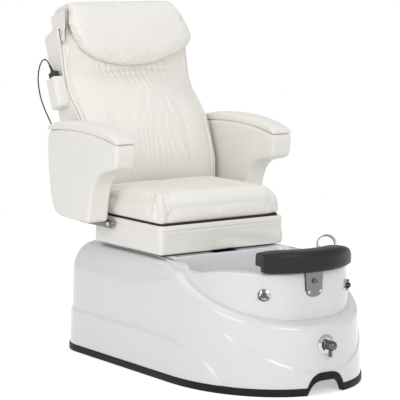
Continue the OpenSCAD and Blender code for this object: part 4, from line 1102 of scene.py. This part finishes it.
def build_back():
    """The back pad: side seams, long panel seams, pleats under the pillow and gathers at the waist."""
    sizes = SCENE.spa_chair_sizes
    pad = remeshed(from_solid("back_pad", "back_cover"), sizes.weave_step, 4)
    held = (to_back(points_of(pad))[:, 1] > BACK_HELD_Y).astype(float)
    padded_out(pad, PRESSURE, sizes.back_swell, held)
    finer(pad)
    points, normals = points_of(pad), normals_of(pad)
    x, y, z = (to_back(points) / MM).T
    front = smooth((-y - 25) / 15)
    # Shallow valleys across the waist and under the pillow, where the cover is drawn in.
    valley = (-1.2 * np.exp(-((z - 250) / 22) ** 2) * np.exp(-(x / 150) ** 4)
              - 2.0 * np.exp(-((z - 540) / 30) ** 2))
    puff = (0.8 * np.sin(x * 0.026 + 0.7) * np.sin(z * 0.021)
            + 0.5 * np.sin(x * 0.043 - z * 0.031))
    set_points(pad, points + normals * ((valley + puff) * front * MM)[:, None])
    folded(pad, PLEATS, sizes.fold_depth * 0.42)
    folded(pad, GATHERS, sizes.fold_depth * 0.62)
    for side in (-1, 1):
        seam = smooth_path(on_side(side, PANEL_SEAM), 90)
        creased(pad, on_surface(pad, seam), 0.0012, 0.0028, 0.4)
    welts = piping_lines(pad, [on_side(side, BACK_WELT) for side in (-1, 1)], 110, 0.0032)
    dressed(pad, cream_leather(), "back", "back_leather", "back_pad")
    lay_piping(pad, welts, "back_piping", "back", "back_leather")


def build_shell():
    """The upholstered shell behind the back pad, and the rolled band along each of its sides."""
    shell = remeshed(from_solid("back_shell", "back_casing"), 0.004, 3)
    dressed(shell, cream_leather(), "back", "shell_leather", "back_shell")
    for side, word in SIDES:
        band = tube(f"back_band_{word}", smooth_path(on_side(side, SHELL_BAND), 90), 0.0075, 10)
        dressed(band, cream_leather(), "back", "back_leather")


def side_fold_rings():
    """Rings of the cover's spare cloth, bunched over the right side of the head of the back."""
    rings = []
    for y in np.linspace(50, -60, 56):
        foot = mix(612, 690, (y + 62) / 112)
        outer = [(8 + 2.4 * math.sin(y * 0.30 + 0.9 * math.sin(z * 0.03))
                  + 1.6 * math.sin(y * 0.61 + z * 0.04), z) for z in np.linspace(752, foot, 16)]
        inner = [(1.5, z) for z in np.linspace(foot + 1, 751, 5)]
        rings.append([on_back(-(mix(268, 236, float(smooth((z - 600) / 130))) + out), y, z)
                      for out, z in outer + inner])
    return rings


def build_pillow():
    """The flap pillow over the top of the back, with a bunched cover at its end."""
    sizes = SCENE.spa_chair_sizes
    pillow = remeshed(from_solid("head_pillow", "pillow_cover"), 0.0055, 3)
    padded_out(pillow, PRESSURE, sizes.pillow_swell)
    finer(pillow)
    points, normals = points_of(pillow), normals_of(pillow)
    x, y, z = (to_back(points) / MM).T
    # The flap's lower edge climbs towards its right end, where the cover is drawn in and bunched.
    flap = smooth((-20 - y) / 30) * smooth((700 - z) / 70)
    climb = np.interp(x, (-262, -219, -170, -104, -20, 115, 204, 262),
                      (28, 24, 10, 1, -7, -7, -3, 0))
    points = points + (climb * flap * MM)[:, None] * np.array([0, LEAN_SIN, LEAN_COS])
    drawn = 34 * smooth((-x - 205) / 60) * smooth((720 - z) / 130)
    wide = 22 * smooth((x - 140) / 110) * (1 - 0.4 * smooth((z - 700) / 50))
    points[:, 0] += (drawn + wide) * MM
    end = smooth((-x - 236) / 20) * smooth((-normals[:, 0] - 0.2) / 0.4)
    bunch = end * (2.6 * np.sin(y * 0.40 + 0.9 * np.sin(z * 0.045))
                   + 1.3 * np.sin(y * 0.83 + z * 0.06 + 1.0))
    drift = 0.7 * np.sin(x * 0.017 + 0.4) * np.sin(z * 0.03 + 0.3)
    notch = -3.0 * np.exp(-((x - 176) / 9) ** 2) * smooth((600 - z) / 50)
    set_points(pillow, points + normals * ((bunch + drift + notch) * MM)[:, None])
    dressed(pillow, cream_leather(), "pillow", "pillow_leather", "head_pillow")
    bunched = skin("pillow_side_folds", side_fold_rings())
    dressed(bunched, cream_leather(), "pillow", "pillow_leather")


def build_pocket():
    """The padded handset pocket on the back's side."""
    pocket = remeshed(from_solid("remote_pocket", "pocket_cover"), 0.003, 5)
    dressed(pocket, cream_leather(), "back", "pocket_leather", "remote_pocket")


def build_arms():
    """Both arms: a taut covered panel, and a pad along its top."""
    for _, word in SIDES:
        body = f"{word}_arm"
        panel = remeshed(from_solid(f"arm_panel_{word}", f"arm_cover_{word}"), 0.0045, 2)
        dressed(panel, cream_leather(), body, "arm_leather", f"arm_panel_{word}")
        pad = remeshed(from_solid(f"arm_pad_{word}", f"arm_top_{word}"), 0.0035, 2)
        padded_out(pad, PRESSURE, 0.003)
        dressed(pad, cream_leather(), body, "arm_pad_leather", f"arm_pad_{word}")


# ---------------------------------------------------------------- cord and handset

CORD_D = 0.005
CORD_PATH = (
    # Points of the cord's centre line on the upright back, in millimetres, from the
    # strain relief on the handset to the gland low on the rear.
    (-308, 22.12, 553.76), (-308, 31, 572), (-310, 45, 584), (-313, 61, 583), (-317, 75, 571),
    (-320, 88, 552), (-322, 100, 525), (-322, 107, 496), (-321, 110, 465), (-319, 109, 434),
    (-315, 105, 402), (-310, 99, 370), (-305, 95, 340), (-300, 96, 310), (-293, 101, 280),
    (-285, 109, 250), (-275, 117, 221), (-264, 122, 194), (-253, 122, 173), (-242, 116, 161),
    (-231, 104, 161), (-225, 92, 173), (-225, 91.5, 191.85),
)


def build_cord():
    """The handset's cord: one smooth tube along the cord's own points."""
    points = [on_back(*p) for p in CORD_PATH]
    cord = tube("handset_cord", points, CORD_D / 2, 12)
    black = rubber("cord_rubber", (0.018, 0.018, 0.019), 900.0)
    dressed(cord, black, "remote", "cord_rubber", "cord")


# ---------------------------------------------------------------- hardware

def build_hardware():
    """Finishes of the solids that stay in view as they are."""
    finishes = (
        (polished("chrome", (0.58, 0.58, 0.59), 0.10),
         "drain_fitting drain_plug tap_escutcheons mixer_escutcheon spray_ring recline_rod"),
        # Knobs, valves, mixer handle and lock bolt: chrome whose colour is darkened as a painted dark
        # reflection, standing in for the dark surroundings that a mirror finish would show.
        (polished("knob_chrome", (0.13, 0.13, 0.135), 0.16),
         "tap_valves tap_knob_right tap_knob_left mixer_valve mixer_handle lock_bolt"),
        (polished("bolt_zinc", (0.60, 0.60, 0.58), 0.2),
         "bracket_screws arm_bolts arm_pins hinge_pin"),
        (brushed("plate_steel", (0.24, 0.24, 0.245), (1, 1, 60)), "footrest_bracket arm_brackets"),
        (brushed("channel_steel", (0.30, 0.30, 0.31), (60, 1, 60), 0.36),
         "slide_channel seat_carriage"),
        (brushed("stem_steel", (0.50, 0.50, 0.51), (60, 60, 1)), "footrest_stem"),
        (painted("frame_paint", (0.032, 0.032, 0.034)),
         "base_frame seat_frame back_hinges back_frame"),
        (painted("motor_paint", (0.05, 0.05, 0.055)), "recline_motor"),
        (plastic("pump_plastic", (0.08, 0.085, 0.09)), "jet_pump"),
        (plastic("jet_plastic", (0.72, 0.72, 0.72), 0.25), "jet_nozzles"),
        (plastic("pipe_plastic", (0.62, 0.63, 0.64), 0.32), "jet_pipes"),
        (plastic("handset_plastic", (0.016, 0.016, 0.017), 0.34), "handset"),
        (plastic("carriage_plastic", (0.05, 0.05, 0.05), 0.4), "massage_carriage"),
        (rubber("keypad_rubber", (0.12, 0.12, 0.125)), "handset_keypad"),
        (rubber("relief_rubber", (0.02, 0.02, 0.021)), "levelling_feet strain_relief cord_gland"),
        # The seat board is plywood, but its colour is made near black: painted shade standing in for
        # the shadow under the cushion.
        (plywood("board_wood", (0.030, 0.022, 0.016)), "seat_board"),
        (plywood("roller_wood", (0.45, 0.28, 0.14)), "massage_rollers"),
        (plastic("bush_plastic", (0.75, 0.74, 0.70), 0.3), "arm_bush_right arm_bush_left"),
    )
    for material, nodes in finishes:
        for node in nodes.split():
            coat(node, material)
            shade_smooth(SOLIDS[node], 35)


# ---------------------------------------------------------------- stage

TARGET = Vector((0, 0.0730, 0.5808))
CAMERA_AT = Vector((-4.09219, -5.82696, 1.54446))
LENS, SENSOR = 177.5, 36
FLOOR_HALF = 14.0
FADE_FROM, FADE_TO = 1.3, 4.0
FLOOR_GLOW = 0.45
SKY_STRENGTH = 0.69
WHITE = (1, 1, 1)
LIGHTS = (
    # Name, place, the point that it faces, its width and height, and its power in watts.
    ("key", (-1.0, -4.8, 2.7), (0, 0, 0.6), (2.6, 2.0), 74),
    ("side", (-4.0, -1.0, 1.8), (0, 0, 0.6), (2.0, 2.4), 40),
    ("top", (0.2, 0.6, 4.2), (0, 0, 0.5), (3.0, 3.0), 26),
)


def placed(name, data, at, aim):
    """A light or camera, at a place and turned to a point."""
    thing = bpy.data.objects.new(name, data)
    SCENE.collection.objects.link(thing)
    thing.location = at
    thing.rotation_euler = (Vector(aim) - Vector(at)).to_track_quat("-Z", "Y").to_euler()
    return thing


def build_floor():
    """A pale floor that keeps the chair's shadow and turns white to the eye far from it."""
    half = FLOOR_HALF
    floor = mesh_piece("studio_floor", [
        (-half, -half, 0), (half, -half, 0), (half, half, 0), (-half, half, 0)], [(0, 1, 2, 3)])
    finish = Finish("studio_floor")
    ray = finish.add("ShaderNodeLightPath").outputs
    diffuse = finish.shader("ShaderNodeBsdfDiffuse", (0.86, 0.86, 0.86))
    glow = finish.shader("ShaderNodeEmission", WHITE, Strength=FLOOR_GLOW)
    lit = finish.add("ShaderNodeAddShader", None, {0: diffuse, 1: glow}).outputs[0]
    seen = finish.either(ray["Is Camera Ray"], ray["Is Glossy Ray"])
    near = finish.mixed_shaders(seen, diffuse, lit)
    reach = finish.add("ShaderNodeVectorMath", {"operation": "LENGTH"}, {
        0: finish.place}).outputs["Value"]
    far = finish.add("ShaderNodeMapRange", {"interpolation_type": "SMOOTHSTEP"}, {
        "Value": reach, "From Min": FADE_FROM, "From Max": FADE_TO}).outputs[0]
    share = Value(finish, far) * Value(finish, ray["Is Camera Ray"])
    white = finish.shader("ShaderNodeEmission", WHITE, Strength=1.0)
    finish.add("ShaderNodeOutputMaterial", None, {0: finish.mixed_shaders(share, near, white)})
    floor.data.materials.append(finish.owner)


def build_world():
    """Soft light from all round, with a white backdrop to the eye."""
    world = bpy.data.worlds.new("studio")
    SCENE.world = world
    sky = Nodes(world)
    ray = sky.add("ShaderNodeLightPath").outputs
    seen = sky.either(ray["Is Camera Ray"], ray["Is Transmission Ray"])
    white = sky.shader("ShaderNodeBackground", WHITE)
    soft = sky.shader("ShaderNodeBackground", (0.98, 0.99, 1), Strength=SKY_STRENGTH)
    sky.add("ShaderNodeOutputWorld", None, {0: sky.mixed_shaders(seen, soft, white)})


def build_stage():
    """Pale floor, soft studio light and the camera."""
    SCENE.view_settings.view_transform = "Standard"
    build_floor()
    build_world()
    for name, at, aim, size, power in LIGHTS:
        light = bpy.data.lights.new(name, "AREA")
        light.shape = "RECTANGLE"
        light.size, light.size_y = size
        light.energy = power
        placed(name, light, at, aim)
    lens = bpy.data.cameras.new("camera")
    lens.lens = LENS
    lens.sensor_width = SENSOR
    SCENE.camera = placed("camera", lens, CAMERA_AT, TARGET)


# ---------------------------------------------------------------- operators

def operator(word, label, note, build):
    """An operator class for one group of pieces."""
    def execute(self, context):
        """Builds the group."""
        build()
        return {"FINISHED"}

    return type(f"SPA_CHAIR_OT_{word}", (bpy.types.Operator,), {
        "bl_idname": f"spa_chair.{word}", "bl_label": label, "__doc__": note,
        "bl_options": {"REGISTER", "UNDO"}, "execute": execute})


OPERATORS = (
    operator("stage", "Stage", "Adds the floor, the lights and the camera", build_stage),
    operator("cord", "Cord", "Adds the handset's cord", build_cord),
    operator("tub", "Tub", "Adds the moulded tub and its rubber edge", build_tub),
    operator("footrest", "Footrest", "Adds the footrest's pad", build_footrest),
    operator("skirt", "Skirt", "Adds the skirt under the seat", build_skirt),
    operator("cushion", "Cushion", "Adds the seat cushion and its piping", build_cushion),
    operator("casing", "Back casing", "Adds the covered shell of the back", build_shell),
    operator("back", "Back pad", "Adds the back pad with its seams and folds", build_back),
    operator("pillow", "Pillow", "Adds the head pillow", build_pillow),
    operator("pocket", "Pocket", "Adds the handset's pocket", build_pocket),
    operator("arms", "Arms", "Adds both arms", build_arms),
    operator("hardware", "Hardware", "Gives the fittings and frames their finishes",
             build_hardware),
)


class SPA_CHAIR_PT_panel(bpy.types.Panel):
    """The chair's sizes, colours and groups."""
    bl_label = "Spa chair"
    bl_idname = "SPA_CHAIR_PT_panel"
    bl_space_type = "VIEW_3D"
    bl_region_type = "UI"
    bl_category = "Spa chair"

    def draw(self, context):
        layout = self.layout
        for group in (context.scene.spa_chair_sizes, context.scene.spa_chair_colours):
            for name in group.__annotations__:
                layout.prop(group, name)
        for kind in OPERATORS:
            layout.operator(kind.bl_idname)


CLASSES = (SpaChairSizes, SpaChairColours, *OPERATORS, SPA_CHAIR_PT_panel)


def register():
    for kind in CLASSES:
        bpy.utils.register_class(kind)
    bpy.types.Scene.spa_chair_sizes = bpy.props.PointerProperty(type=SpaChairSizes)
    bpy.types.Scene.spa_chair_colours = bpy.props.PointerProperty(type=SpaChairColours)


def unregister():
    del bpy.types.Scene.spa_chair_sizes
    del bpy.types.Scene.spa_chair_colours
    for kind in reversed(CLASSES):
        bpy.utils.unregister_class(kind)


def main():
    register()
    for kind in OPERATORS:
        getattr(bpy.ops.spa_chair, kind.bl_idname.split(".")[1])()


if __name__ == "__main__":
    main()
